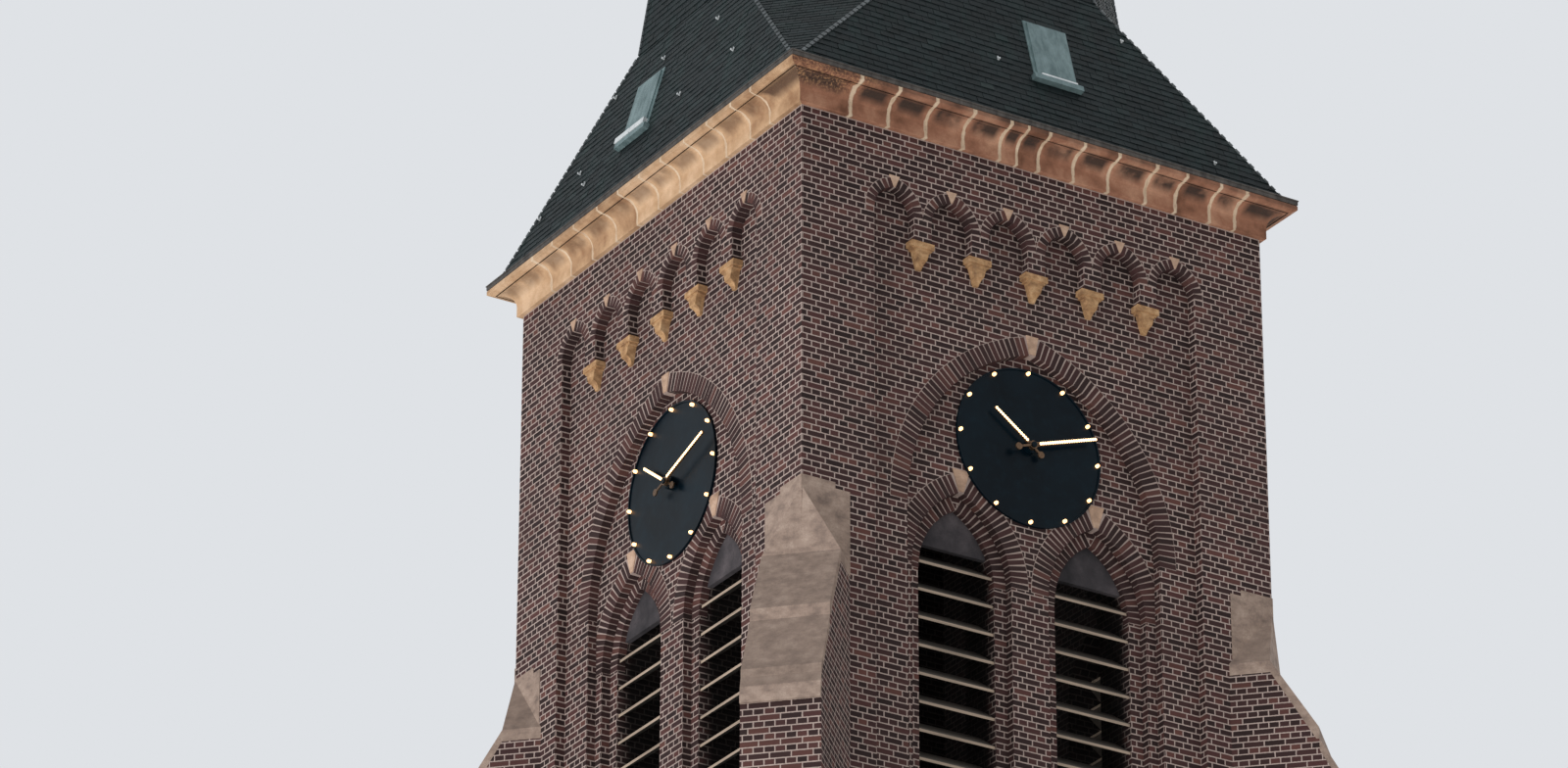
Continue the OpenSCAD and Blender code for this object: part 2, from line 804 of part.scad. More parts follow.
// The lead cap on the spire's tip, with the ball and the cross over it
module finial() {
    foot_r = neck_r * lead_h / (tip_z - neck_z) + lead_proud;
    color(lead) {
        needle(foot_r, tip_z - lead_h, tip_z + ball_r);
        translate([0, 0, tip_z - lead_h]) rotate([0, 0, 22.5])
            cylinder(h = 2 * lead_proud, r = foot_r + lead_roll, $fn = 8);
        translate([0, 0, tip_z]) {
            cylinder(h = finial_h, r = rod_r);
            translate([0, 0, ball_r]) sphere(ball_r);
            translate([0, 0, 2 * ball_r]) cylinder(h = rod_r, r = collar_r);
            translate([0, 0, finial_h - cross_r]) {
                rotate([0, 90, 0]) cylinder(h = 2 * cross_r, r = rod_r, center = true);
                for (end = [[-1, 0], [1, 0], [0, 1]]) translate([end[0] * cross_r, 0, end[1] * cross_r]) sphere(knob_r);
            }
        }
    }
}

// The clock

// Turns a part drawn on the Z axis to face out of the front wall at the dial's middle
module at_dial(depth) {
    translate([0, -half_w + depth, dial_z]) rotate([90, 0, 0]) children();
}

module clock_dials() {
    reach = dial_face - minute_at + hand_t + shaft_gap;
    color(navy) for (face = FACES) on(face) {
        at_dial(field_at) cylinder(h = dial_t, r = dial_r, $fn = 128);
        at_dial(dial_face) difference() {
            cylinder(h = rim_h, r = dial_r, $fn = 128);
            cylinder(h = 3 * rim_h, r = dial_r - rim_w, center = true, $fn = 128);
        }
        at_dial(dial_face) cylinder(h = drum_h, r = drum_r);
        at_dial(dial_face) cylinder(h = reach + cap_h, r = arbor_r);
        at_dial(dial_face - reach) cylinder(h = cap_h, r = cap_r);
    }
}

module dial_lamps() {
    color("#ffdda0") for (face = FACES) on(face) at_dial(dial_face)
        for (hour = [0 : 11]) rotate([0, 0, hour * 30]) translate([lamp_ring_r, 0, 0]) {
            cylinder(h = lamp_holder_h, r = lamp_r);
            translate([0, 0, lamp_holder_h + lamp_r / 2]) sphere(lamp_r);
        }
}

// A hand along +Y, from its counterweight to its tip, with the lamp bar on its outer side
module hand(reach, tail) {
    difference() {
        union() {
            linear_extrude(hand_t) {
                circle(boss_r);
                polygon([[-hand_w / 2, 0], [hand_w / 2, 0], [tip_w / 2, reach], [-tip_w / 2, reach]]);
                translate([-hand_w / 4, -tail]) square([hand_w / 2, tail]);
                translate([0, -tail]) circle(weight_r);
            }
            translate([-bar_w / 2, boss_r + bar_gap[0], 0])
                cube([bar_w, reach - boss_r - bar_gap[0] - bar_gap[1], hand_t + bar_h]);
        }
        translate([0, 0, -eps]) cylinder(h = 2 * hand_t + 2 * eps, r = arbor_r + arbor_gap);
    }
}

module minute_hand(face) {
    color("#d8d4cc") on(face) at_dial(minute_at) rotate([0, 0, -minute_angle]) hand(minute_reach, weight_x[0]);
}

module hour_hand(face) {
    color("#d8d4cc") on(face) at_dial(hour_at) rotate([0, 0, -hour_angle]) hand(hour_reach, weight_x[1]);
}

plinth();
floor_slab(0);  // ground_floor
floor_slab(middle_floor_z);  // middle_floor
floor_slab(belfry_z);  // belfry_floor
lower_wall(FRONT);  // front_lower_wall
lower_wall(RIGHT);  // right_lower_wall
lower_wall(BACK);  // back_lower_wall
lower_wall(LEFT);  // left_lower_wall
belfry_wall(FRONT);  // front_belfry_wall
belfry_wall(RIGHT);  // right_belfry_wall
belfry_wall(BACK);  // back_belfry_wall
belfry_wall(LEFT);  // left_belfry_wall
buttress(FRONT);  // front_left_buttress
buttress(RIGHT);  // front_right_buttress
buttress(BACK);  // back_right_buttress
buttress(LEFT);  // back_left_buttress
buttress_copings();
string_courses();
lancet_sills();
corbels();
keystones();
louvres(FRONT);  // front_louvres
louvres(RIGHT);  // right_louvres
louvres(BACK);  // back_louvres
louvres(LEFT);  // left_louvres
arch_head_panels();
cornice();
gutter();
lower_roof();
spire();
roof_hatches();
finial();
clock_dials();
dial_lamps();
minute_hand(FRONT);  // front_minute_hand
hour_hand(FRONT);  // front_hour_hand
minute_hand(RIGHT);  // right_minute_hand
hour_hand(RIGHT);  // right_hour_hand
minute_hand(BACK);  // back_minute_hand
hour_hand(BACK);  // back_hour_hand
minute_hand(LEFT);  // left_minute_hand
hour_hand(LEFT);  // left_hour_hand
doorway_surround();
door();
window_glass();
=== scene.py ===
"""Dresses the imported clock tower: brickwork, stone, slates, louvres, clock, doorway, light and camera.

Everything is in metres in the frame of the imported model: the origin is the middle of the base, +Z is up
and the front face looks along -Y. A piece that repeats on the four faces is worked out for the front face
and turned. A depth is measured back from the wall's outer plane, and a height over the ground.
"""

import logging
import math
from dataclasses import dataclass
from enum import Enum

import bpy
import numpy as np
from mathutils import Matrix, Vector


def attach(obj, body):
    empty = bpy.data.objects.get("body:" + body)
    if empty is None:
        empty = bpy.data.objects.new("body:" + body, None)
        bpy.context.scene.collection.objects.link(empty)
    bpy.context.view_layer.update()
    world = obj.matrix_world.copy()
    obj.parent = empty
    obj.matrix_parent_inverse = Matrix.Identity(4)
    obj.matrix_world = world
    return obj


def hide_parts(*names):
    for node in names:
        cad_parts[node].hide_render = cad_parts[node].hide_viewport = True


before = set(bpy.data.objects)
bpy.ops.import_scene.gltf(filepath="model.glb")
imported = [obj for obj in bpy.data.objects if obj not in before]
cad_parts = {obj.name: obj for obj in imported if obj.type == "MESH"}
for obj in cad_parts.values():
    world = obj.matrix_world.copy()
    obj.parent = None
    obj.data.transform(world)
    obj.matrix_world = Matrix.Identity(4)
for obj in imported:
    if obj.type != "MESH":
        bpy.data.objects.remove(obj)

LOG = logging.getLogger("clock_tower")
TOWER = "tower"
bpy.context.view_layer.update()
Socket = bpy.types.NodeSocket

# Main sizes of the shaft, as in the construction model
HALF_W = 1.5
WALL_TOP = 17.3
PANEL = 0.061
FIELD = 0.117
ORDER = 0.171
CORNICE_TOP = WALL_TOP + 0.186
EAVES = 1.626
NECK_R = 1.314
NECK_Z = WALL_TOP + 1.305
TIP_Z = WALL_TOP + 11.25
DIAL_Z = WALL_TOP - 1.617
COURSE = 0.0348
STRETCHER = 0.1128
# The real joint is 5.5 mm at this scale; it is drawn as broad as it needs to be to show from the ground
JOINT = 0.007


class Face(Enum):
    """The four faces of the tower, each with its quarter turns from the front."""

    FRONT = 0
    RIGHT = 1
    BACK = 2
    LEFT = 3

    @property
    def word(self) -> str:
        """The face's name as it stands in the names of the nodes."""
        return self.name.lower()

    def turned(self, points: np.ndarray) -> np.ndarray:
        """Turns points or directions, with x, y, z on the last axis, from the front face to this one."""
        c, s = ((1, 0), (0, 1), (-1, 0), (0, -1))[self.value]
        return points @ np.array([[c, s, 0], [-s, c, 0], [0, 0, 1]], float)


# Colours and shader nodes


def linear(code: str) -> tuple[float, float, float, float]:
    """Turns an sRGB hex colour to linear light: c/12.92 below 0.04045, else ((c+0.055)/1.055)^2.4.

    Args:
        code: Six hex digits after a hash.

    Returns:
        Linear red, green, blue and an alpha of 1.
    """
    parts = [int(code[i : i + 2], 16) / 255 for i in (1, 3, 5)]
    red, green, blue = (c / 12.92 if c <= 0.04045 else ((c + 0.055) / 1.055) ** 2.4 for c in parts)
    return red, green, blue, 1.0


class Nodes:
    """The node tree of a material or a world."""

    def __init__(self, owner: bpy.types.Material | bpy.types.World) -> None:
        """Empties the owner's node tree."""
        owner.use_nodes = True
        self.tree = owner.node_tree
        self.tree.nodes.clear()

    def add(
        self,
        kind: str,
        *values: object,
        out: int | str = 0,
        stops: dict[float, str] | None = None,
        **settings: object,
    ) -> Socket | None:
        """Adds a node with its settings and links, and gives one of its outputs.

        Args:
            kind: The node's type without "ShaderNode", with an operation or data type after a colon. A word
                in capitals is an operation of the Math node.
            values: A value, hex colour or socket for each input that the node shows, in order.
            out: Number or name of the output to give, among those that the node shows.
            stops: Place to hex colour, from low to high, for a colour ramp.
            settings: Properties of the node; a key that names an input in lower case sets that input.

        Returns:
            The output socket, or None for a node without outputs.
        """
        kind, _, option = f"Math:{kind}".partition(":") if kind.isupper() else kind.partition(":")
        made = self.tree.nodes.new("ShaderNode" + kind)
        if option:
            setattr(made, "operation" if hasattr(made, "operation") else "data_type", option)
        named = {i.name.lower().replace(" ", "_"): i for i in made.inputs}
        given = list(zip([i for i in made.inputs if i.enabled], values))
        for key, value in settings.items():
            if key in named:
                given.append((named[key], value))
            else:
                setattr(made, key, value)
        for socket, value in given:
            if isinstance(value, Socket):
                self.tree.links.new(value, socket)
            else:
                socket.default_value = linear(value) if isinstance(value, str) else value
        if stops:
            points = made.color_ramp.elements
            for spot in list(stops)[2:]:
                points.new(spot)
            for point, (spot, code) in zip(points, stops.items()):
                point.position = spot
                point.color = linear(code)
        shown = [o for o in made.outputs if o.enabled]
        if isinstance(out, str):
            return next(o for o in shown if o.name == out)
        return shown[out] if shown else None


class Shade(Nodes):
    """The nodes of one material."""

    def __init__(self, name: str) -> None:
        """Makes an empty material, with the shaded point's place and the way that its surface faces."""
        self.material = bpy.data.materials.new(name)
        super().__init__(self.material)
        self.place = self.add("TexCoord", out="Object")
        self.side = self.add("TexCoord", out="Normal")

    def surface(
        self, relief: Socket | None = None, depth: float = 0.0, strength: float = 1.0, **inputs: object
    ) -> bpy.types.Material:
        """Ends the tree with its surface.

        Args:
            relief: Height between 0 and 1 for a bump, if there is one.
            depth: What a height of 1 is in metres.
            strength: How much of the bump shows.
            inputs: The surface's other inputs by name.

        Returns:
            The material.
        """
        if relief is not None:
            inputs["normal"] = self.add("Bump", height=relief, distance=depth, strength=strength)
        self.add("OutputMaterial", self.add("BsdfPrincipled", **inputs))
        return self.material


# Meshes


def add_mesh(
    name: str, points: np.ndarray, faces: list[np.ndarray], material: bpy.types.Material, slot: str,
    body: str = TOWER, smooth: bool = False, instead_of: tuple[str, ...] = (), **marks: np.ndarray,
) -> None:
    """Makes an object of numpy arrays and lets it ride on a body.

    Args:
        name: The piece's name.
        points: Vertices, (n, 3).
        faces: Arrays of faces, each (m, corners).
        material: The piece's material.
        slot: Not used.
        body: The body that it rides on.
        smooth: Whether the faces are shaded smooth.
        instead_of: The construction model's nodes that the piece stands for.
        marks: Attributes that the material reads, each with a value for every vertex.
    """
    mesh = bpy.data.meshes.new(name)
    loops = np.concatenate([f.ravel() for f in faces]).astype(np.int32)
    sizes = np.concatenate([np.full(len(f), f.shape[1]) for f in faces]).astype(np.int32)
    mesh.vertices.add(len(points))
    mesh.vertices.foreach_set("co", np.ascontiguousarray(points, np.float32).ravel())
    mesh.loops.add(len(loops))
    mesh.loops.foreach_set("vertex_index", loops)
    mesh.polygons.add(len(sizes))
    mesh.polygons.foreach_set("loop_start", np.concatenate([[0], np.cumsum(sizes)[:-1]]).astype(np.int32))
    mesh.polygons.foreach_set("loop_total", sizes)
    mesh.polygons.foreach_set("use_smooth", np.full(len(sizes), smooth))
    mesh.update(calc_edges=True)
    for mark, values in marks.items():
        attribute = mesh.attributes.new(mark, "FLOAT", "POINT")
        attribute.data.foreach_set("value", np.ascontiguousarray(values, np.float32))
    mesh.materials.append(material)
    piece = bpy.data.objects.new(name, mesh)
    bpy.context.scene.collection.objects.link(piece)
    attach(piece, body)
    if instead_of:
        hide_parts(*instead_of)
    LOG.info("%s: %d vertices, %d faces", name, len(points), len(sizes))


def dress(material: bpy.types.Material, *nodes: str) -> None:
    """Gives nodes of the construction model a material.

    Args:
        material: The material.
        nodes: The nodes' names.
    """
    for node in nodes:
        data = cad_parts[node].data
        data.materials.clear()
        data.materials.append(material)
        LOG.info("%s: %s", node, material.name)


def grid_faces(rows: int, columns: int, round_rows: bool = False, round_columns: bool = False) -> np.ndarray:
    """The four-sided faces between the points of a grid.

    Args:
        rows: Points along the first direction.
        columns: Points along the second direction.
        round_rows: Whether the last row joins the first.
        round_columns: Whether the last column joins the first.

    Returns:
        Faces, (n, 4).
    """
    i, j = np.indices((rows - (not round_rows), columns - (not round_columns)))
    low, high = i * columns, (i + 1) % rows * columns
    after = (j + 1) % columns
    return np.stack([low + j, low + after, high + after, high + j], -1).reshape(-1, 4)


def repeated(faces: np.ndarray, count: int, size: int) -> np.ndarray:
    """Copies faces for a number of equal pieces that have size vertices each."""
    return (faces + np.arange(count)[:, None, None] * size).reshape(-1, faces.shape[1])


def joined(meshes: list[tuple[np.ndarray, np.ndarray]]) -> tuple[np.ndarray, np.ndarray]:
    """Puts (vertices, faces) pairs together, each pair's faces counted on from the vertices before it."""
    starts = np.cumsum([0] + [len(points) for points, _ in meshes])
    faces = [faces + start for (_, faces), start in zip(meshes, starts)]
    return np.concatenate([points for points, _ in meshes]), np.concatenate(faces)


# A box's corners, as signs along its three directions, and its faces
CORNERS = np.array([[x, y, z] for x in (-1, 1) for y in (-1, 1) for z in (-1, 1)])
SIDES = np.array([[0, 1, 3, 2], [4, 6, 7, 5], [0, 4, 5, 1], [2, 3, 7, 6], [0, 2, 6, 4], [1, 5, 7, 3]])


def chamfered_faces() -> list[np.ndarray]:
    """Lists the faces of a box with cut edges.

    Corner i has vertex 3 * i + axis on its face across that axis.

    Returns:
        The six sides and twelve cut edges, and the eight cut corners.
    """
    index = {tuple(corner): 3 * i for i, corner in enumerate(CORNERS)}
    quads, triangles = [], []
    for axis in range(3):
        after, last = (axis + 1) % 3, (axis + 2) % 3
        for p, q in ((-1, -1), (-1, 1), (1, -1), (1, 1)):
            low, high = (index[tuple(np.roll([s, p, q], axis))] for s in (-1, 1))
            edge = [low + after, high + after, high + last, low + last]
            quads.append(edge if p * q < 0 else edge[::-1])
        for s in (-1, 1):
            ring = [(-1, -1), (1, -1), (1, 1), (-1, 1)][::s]
            quads.append([index[tuple(np.roll([s, p, q], axis))] + axis for p, q in ring])
    for corner, first in index.items():
        triangles.append([first, first + 1, first + 2][:: int(np.prod(corner))])
    return [np.array(quads), np.array(triangles)]


@dataclass
class Blocks:
    """Many small blocks, each with its middle, three directions, half sizes and tone."""

    middles: np.ndarray
    axes: np.ndarray
    halves: np.ndarray
    tones: np.ndarray

    def add(self, name: str, chamfer: float, material: bpy.types.Material, slot: str) -> None:
        """Makes one piece of all the blocks: middle + axes * (sign * half + cut * chamfer).

        Args:
            name: The piece's name.
            chamfer: Size of the cut edges, or 0.
            material: The piece's material.
            slot: A slot name, passed on to add_mesh.
        """
        signs, cut, faces = CORNERS, np.zeros((8, 3)), [SIDES]
        if chamfer:
            signs = np.repeat(CORNERS, 3, 0)
            cut = -signs * (1 - np.tile(np.eye(3), (8, 1)))
            faces = chamfered_faces()
        local = signs * self.halves[:, None] + cut * chamfer
        points = self.middles[:, None] + np.einsum("nvk,nkx->nvx", local, self.axes)
        faces = [repeated(f, len(points), len(signs)) for f in faces]
        add_mesh(name, points.reshape(-1, 3), faces, material, slot, tone=np.repeat(self.tones, len(signs)))

    @staticmethod
    def join(parts: list["Blocks"]) -> "Blocks":
        """Puts several sets of blocks together."""
        return Blocks(*(np.concatenate([getattr(p, key) for p in parts]) for key in Blocks.__annotations__))

    def on(self, face: Face) -> "Blocks":
        """Turns blocks that were laid out for the front face to another face."""
        return Blocks(face.turned(self.middles), face.turned(self.axes), self.halves, self.tones)


# Finishes


@dataclass(frozen=True)
class FacingBrick:
    """Hand-moulded brick in English cross bond: rough dark purple-brown faces and broad pale pinkish joints.

    The bond is worked out from the height and the distance along the wall. Header courses alternate with
    stretcher courses, the headers sit a quarter stretcher over, and every other stretcher course is
    shifted by half a stretcher. Deep in the openings the wall is darkened to near black as painted shade.
    """

    name: str
    turn: float = 0.0

    def make(self) -> bpy.types.Material:
        """Makes the material.

        Returns:
            The material.
        """
        s = Shade(self.name)
        place, side = s.place, s.side
        if self.turn:
            turned = {"rotation_type": "Z_AXIS", "angle": self.turn}
            place, side = s.add("VectorRotate", place, **turned), s.add("VectorRotate", side, **turned)
        x, y, z = (s.add("SeparateXYZ", place, out=i) for i in range(3))
        facing = [s.add("ABSOLUTE", s.add("SeparateXYZ", side, out=i)) for i in range(2)]
        sideways = s.add("GREATER_THAN", *facing)
        along = s.add("Mix", sideways, x, y)
        # the course's number, and whether it is a stretcher course
        height = s.add("DIVIDE", z, COURSE)
        row = s.add("FLOOR", height)
        stretcher = s.add("MODULO", row, 2.0)
        pair = s.add("MODULO", s.add("FLOOR", s.add("DIVIDE", row, 2.0)), 2.0)
        width = s.add("MULTIPLY_ADD", stretcher, 0.5, 0.5)
        quarter = s.add("MULTIPLY_ADD", stretcher, -0.25, 0.25)
        half = s.add("MULTIPLY", s.add("MULTIPLY", stretcher, pair), 0.5)
        shifted = s.add("ADD", s.add("MULTIPLY_ADD", along, 1 / STRETCHER, quarter), half)
        column = s.add("DIVIDE", shifted, width)
        # distance to the nearest joint, with a worn, uneven arris
        side_gap = s.add("MULTIPLY", s.add("PINGPONG", s.add("FRACT", column), 0.5), width)
        side_gap = s.add("MULTIPLY", side_gap, STRETCHER)
        bed_gap = s.add("MULTIPLY", s.add("PINGPONG", s.add("FRACT", height), 0.5), COURSE)
        gap = s.add("MINIMUM", side_gap, bed_gap)
        rough = s.add("TexNoise", place, scale=95.0, detail=3.0, roughness=0.6)
        gap = s.add("ADD", gap, s.add("MULTIPLY_ADD", rough, 0.0036, -0.0018))
        arris = JOINT / 2 - 0.0009, JOINT / 2 + 0.0011
        brick = s.add("MapRange", gap, *arris, interpolation_type="SMOOTHSTEP")
        # one random tone for each brick
        bond = s.add("MULTIPLY_ADD", sideways, 7.0, stretcher)
        key = s.add("CombineXYZ", s.add("FLOOR", column), row, bond)
        tone = s.add("TexWhiteNoise", key)
        fired = {0.0: "#1d1314", 0.3: "#2e1e1f", 0.6: "#3f2828", 0.85: "#523231", 1.0: "#69433c"}
        colour = s.add("ValToRGB", tone, stops=fired)
        clouds = s.add("TexNoise", place, scale=1.3, detail=5.0, roughness=0.6)
        soot = s.add("MapRange", clouds, 0.42, 0.72)
        colour = s.add("Mix:RGBA", s.add("MULTIPLY", soot, 0.4), colour, "#1d1415")
        grain = s.add("MULTIPLY", s.add("TexNoise", place, scale=420.0, detail=2.0), 0.25)
        colour = s.add("Mix:RGBA", grain, colour, "#5f4945")
        mortar = s.add("Mix:RGBA", s.add("MULTIPLY", soot, 0.5), "#c5b1a9", "#8e7e78")
        mortar = s.add("Mix:RGBA", s.add("MULTIPLY", rough, 0.4), mortar, "#a4938c")
        laid = s.add("Mix:RGBA", brick, mortar, colour)
        # painted shade: deep in the openings the brick darkens to near black
        if not self.turn:
            reach = s.add("MAXIMUM", s.add("ABSOLUTE", x), s.add("ABSOLUTE", y))
            laid = s.add("Mix:RGBA", s.add("MapRange", reach, 1.33, 1.24, 0.0, 0.92), laid, "#0d0b0b")
        relief = s.add("ADD", s.add("ADD", brick, grain), s.add("MULTIPLY", tone, 0.3))
        return s.surface(relief, 0.004, base_color=laid, roughness=0.88, specular_ior_level=0.25)


@dataclass(frozen=True)
class LooseBrick:
    """The same brick laid singly round the arches, toned by the piece's own attribute."""

    name: str = "arch_brick"

    def make(self) -> bpy.types.Material:
        """Makes the material.

        Returns:
            The material.
        """
        s = Shade(self.name)
        tone = s.add("Attribute", attribute_name="tone", out="Fac")
        fired = {0.0: "#201516", 0.35: "#322021", 0.7: "#442a2a", 1.0: "#603e38"}
        colour = s.add("ValToRGB", tone, stops=fired)
        grain = s.add("TexNoise", s.place, scale=300.0, detail=4.0)
        colour = s.add("Mix:RGBA", s.add("MULTIPLY", grain, 0.28), colour, "#5f4945")
        return s.surface(grain, 0.0016, base_color=colour, roughness=0.88, specular_ior_level=0.25)


@dataclass(frozen=True)
class LimeMortar:
    """Lime and sand mortar struck flush: pale, sandy and quite rough."""

    name: str = "lime_mortar"

    def make(self) -> bpy.types.Material:
        """Makes the material.

        Returns:
            The material.
        """
        s = Shade(self.name)
        grain = s.add("TexNoise", s.place, scale=260.0, detail=5.0, roughness=0.7)
        colour = s.add("ValToRGB", grain, stops={0.25: "#93827b", 0.75: "#c5b1a9"})
        return s.surface(grain, 0.0015, base_color=colour, roughness=0.95, specular_ior_level=0.2)


@dataclass(frozen=True)
class SawnStone:
    """Sawn, rubbed sandstone: fine speckled grain, faint beds, rain streaks, painted shade and lichen facing
    up.

    A height given as ledge gets a painted shadow for a hand's breadth over it.
    """

    name: str
    light: str
    middle: str
    dark: str
    streaks: float = 0.5
    bed: float = 9.0
    slopes: float = 0.0
    ledge: float = 0.0

    def make(self) -> bpy.types.Material:
        """Makes the material.

        Returns:
            The material.
        """
        s = Shade(self.name)
        beds = s.add("Mapping", s.place, scale=(1.0, 1.0, 1.5))
        clouds = s.add("TexNoise", beds, scale=self.bed, detail=7.0, roughness=0.66)
        colour = s.add("ValToRGB", clouds, stops={0.28: self.dark, 0.5: self.middle, 0.74: self.light})
        run = s.add("Mapping", s.place, scale=(9.0, 9.0, 1.2))
        drips = s.add("TexNoise", run, scale=1.6, detail=5.0, roughness=0.7)
        stain = s.add("MULTIPLY", s.add("MapRange", drips, 0.52, 0.75), self.streaks)
        colour = s.add("Mix:RGBA", stain, colour, "#4d413a")
        if self.slopes:
            # painted shade with lichen: stone that faces up is darker
            tilt = s.add("MULTIPLY_ADD", clouds, 0.5, s.add("SeparateXYZ", s.side, out=2))
            lichen_and_shade = s.add("MapRange", tilt, 0.5, 0.72, 0.0, self.slopes)
            colour = s.add("Mix:RGBA", lichen_and_shade, colour, "#463d36")
        if self.ledge:
            # painted shadow of the ledge on the face over it
            over = s.add("SUBTRACT", s.add("SeparateXYZ", s.place, out=2), self.ledge)
            starts, fades = s.add("MapRange", over, 0.0, 0.006), s.add("MapRange", over, 0.15, 0.09)
            ledge_shadow = s.add("MULTIPLY", starts, fades)
            colour = s.add("Mix:RGBA", s.add("MULTIPLY", ledge_shadow, self.slopes), colour, "#463d36")
        grain = s.add("TexNoise", s.place, scale=150.0, detail=4.0, roughness=0.7)
        colour = s.add("Mix:RGBA", s.add("MapRange", grain, 0.45, 0.7, 0.0, 0.4), colour, self.dark)
        return s.surface(grain, 0.0016, base_color=colour, roughness=0.86, specular_ior_level=0.3)


@dataclass(frozen=True)
class MouldedStone:
    """Cornice sandstone: a tone for each block, smeared mortar at the joints, grime and painted shade in the
    hollow.

    The piece's "end" attribute runs from -1 at one end of a block to 1 at the other; its distance to the
    joint is block_half * (1 - |end|), and the smear reaches a few centimetres from there and wavers.
    """

    name: str
    light: str
    middle: str
    dark: str
    dirt: str
    dirty: float
    speckled: bool = False
    block_half: float = 0.118

    def make(self) -> bpy.types.Material:
        """Makes the material.

        Returns:
            The material.
        """
        s = Shade(self.name)
        tone, end = (s.add("Attribute", attribute_name=mark, out="Fac") for mark in ("tone", "end"))
        end = s.add("ABSOLUTE", end)
        clouds = s.add("TexNoise", s.place, scale=6.0, detail=7.0, roughness=0.64)
        clouds = s.add("MULTIPLY_ADD", s.add("SUBTRACT", tone, 0.5), 0.18, clouds)
        colour = s.add("ValToRGB", clouds, stops={0.3: self.dark, 0.5: self.middle, 0.7: self.light})
        # painted shade and grime in blotches under the hollow's overhang, and darker blotches on the top band
        over = s.add("SUBTRACT", s.add("SeparateXYZ", s.place, out=2), WALL_TOP)
        blotches = s.add("TexNoise", s.place, scale=4.6, detail=5.0, roughness=0.6)
        low = s.add("MapRange", over, 0.09, 0.13)
        hollow = s.add("MULTIPLY", low, s.add("MapRange", over, 0.152, 0.146))
        lee = s.add("MULTIPLY", hollow, s.add("MapRange", blotches, 0.34, 0.5, 0.35, 1.0))
        inner = s.add("MapRange", end, 0.9, 0.55)
        above = s.add("MapRange", over, 0.15, 0.165)
        top = s.add("MULTIPLY", above, s.add("MapRange", blotches, 0.42, 0.66, 0.2, 0.8))
        dirt = s.add("MULTIPLY", s.add("ADD", s.add("MULTIPLY", lee, inner), top), self.dirty)
        # painted shadow, in blotches, in the hollow at the front-left corner
        nearest = s.add("VectorMath:DOT_PRODUCT", s.place, (-1.0, -1.0, 0.0))
        corner_shadow = s.add("MULTIPLY_ADD", s.add("SUBTRACT", blotches, 0.5), 0.3, nearest)
        corner_shadow = s.add("MULTIPLY", s.add("MapRange", corner_shadow, 2.84, 2.9, 0.0, 0.9), hollow)
        colour = s.add("Mix:RGBA", s.add("MAXIMUM", dirt, corner_shadow), colour, self.dirt)
        if self.speckled:
            spots = s.add("TexNoise", s.place, scale=72.0, detail=4.0, roughness=0.65)
            here = s.add("MULTIPLY", s.add("MapRange", nearest, 2.7, 2.86), low)
            for first, last, code in ((0.5, 0.62, "#c4946a"), (0.47, 0.38, "#3f2a22")):
                spot = s.add("MULTIPLY", s.add("MapRange", spots, first, last, 0.0, 0.6), here)
                colour = s.add("Mix:RGBA", spot, colour, code)
        # mortar wiped over the edges of the blocks
        gap = s.add("MULTIPLY_ADD", end, -self.block_half, self.block_half)
        waver = s.add("TexNoise", s.place, scale=26.0, detail=4.0)
        gap = s.add("ADD", gap, s.add("MULTIPLY_ADD", waver, 0.024, -0.011))
        smear = s.add("MapRange", gap, 0.007, 0.001, 0.0, 0.7)
        colour = s.add("Mix:RGBA", smear, colour, "#ead6bc")
        grain = s.add("TexNoise", s.place, scale=170.0, detail=4.0, roughness=0.7)
        colour = s.add("Mix:RGBA", s.add("MapRange", grain, 0.45, 0.7, 0.0, 0.3), colour, self.dark)
        relief = s.add("ADD", grain, s.add("MULTIPLY", smear, 0.8))
        return s.surface(relief, 0.002, base_color=colour, roughness=0.86, specular_ior_level=0.3)


@dataclass(frozen=True)
class RivenSlate:
    """Split slate: near black with a green cast, a low sheen and a tone of its own for every slate."""

    name: str = "riven_slate"

    def make(self) -> bpy.types.Material:
        """Makes the material.

        Returns:
            The material.
        """
        s = Shade(self.name)
        tone = s.add("Attribute", attribute_name="tone", out="Fac")
        split = {0.0: "#0a1012", 0.45: "#0f181b", 0.8: "#172224", 1.0: "#263231"}
        colour = s.add("ValToRGB", tone, stops=split)
        run = s.add("Mapping", s.place, scale=(5.0, 5.0, 0.5))
        moss = s.add("TexNoise", run, scale=1.5, detail=6.0, roughness=0.65)
        colour = s.add("Mix:RGBA", s.add("MapRange", moss, 0.5, 0.8, 0.0, 0.6), colour, "#1c3230")
        grain = s.add("TexNoise", s.place, scale=120.0, detail=6.0, roughness=0.7)
        colour = s.add("Mix:RGBA", s.add("MULTIPLY", grain, 0.18), colour, "#36413f")
        rough = s.add("MapRange", grain, 0.3, 0.7, 0.5, 0.7)
        return s.surface(grain, 0.0014, base_color=colour, roughness=rough, specular_ior_level=0.2)


@dataclass(frozen=True)
class SheetMetal:
    """Lead, zinc or iron sheet: dull grey with white and dark weathering."""

    name: str
    light: str
    dark: str
    roughness: float
    metallic: float

    def make(self) -> bpy.types.Material:
        """Makes the material.

        Returns:
            The material.
        """
        s = Shade(self.name)
        run = s.add("Mapping", s.place, scale=(3.0, 3.0, 1.0))
        clouds = s.add("TexNoise", run, scale=6.0, detail=7.0, roughness=0.68)
        colour = s.add("ValToRGB", clouds, stops={0.3: self.dark, 0.7: self.light})
        fine = s.add("TexNoise", s.place, scale=90.0, detail=4.0)
        rough = s.add("MapRange", fine, 0.3, 0.7, self.roughness - 0.08, self.roughness + 0.12)
        return s.surface(clouds, 0.002, base_color=colour, metallic=self.metallic, roughness=rough)


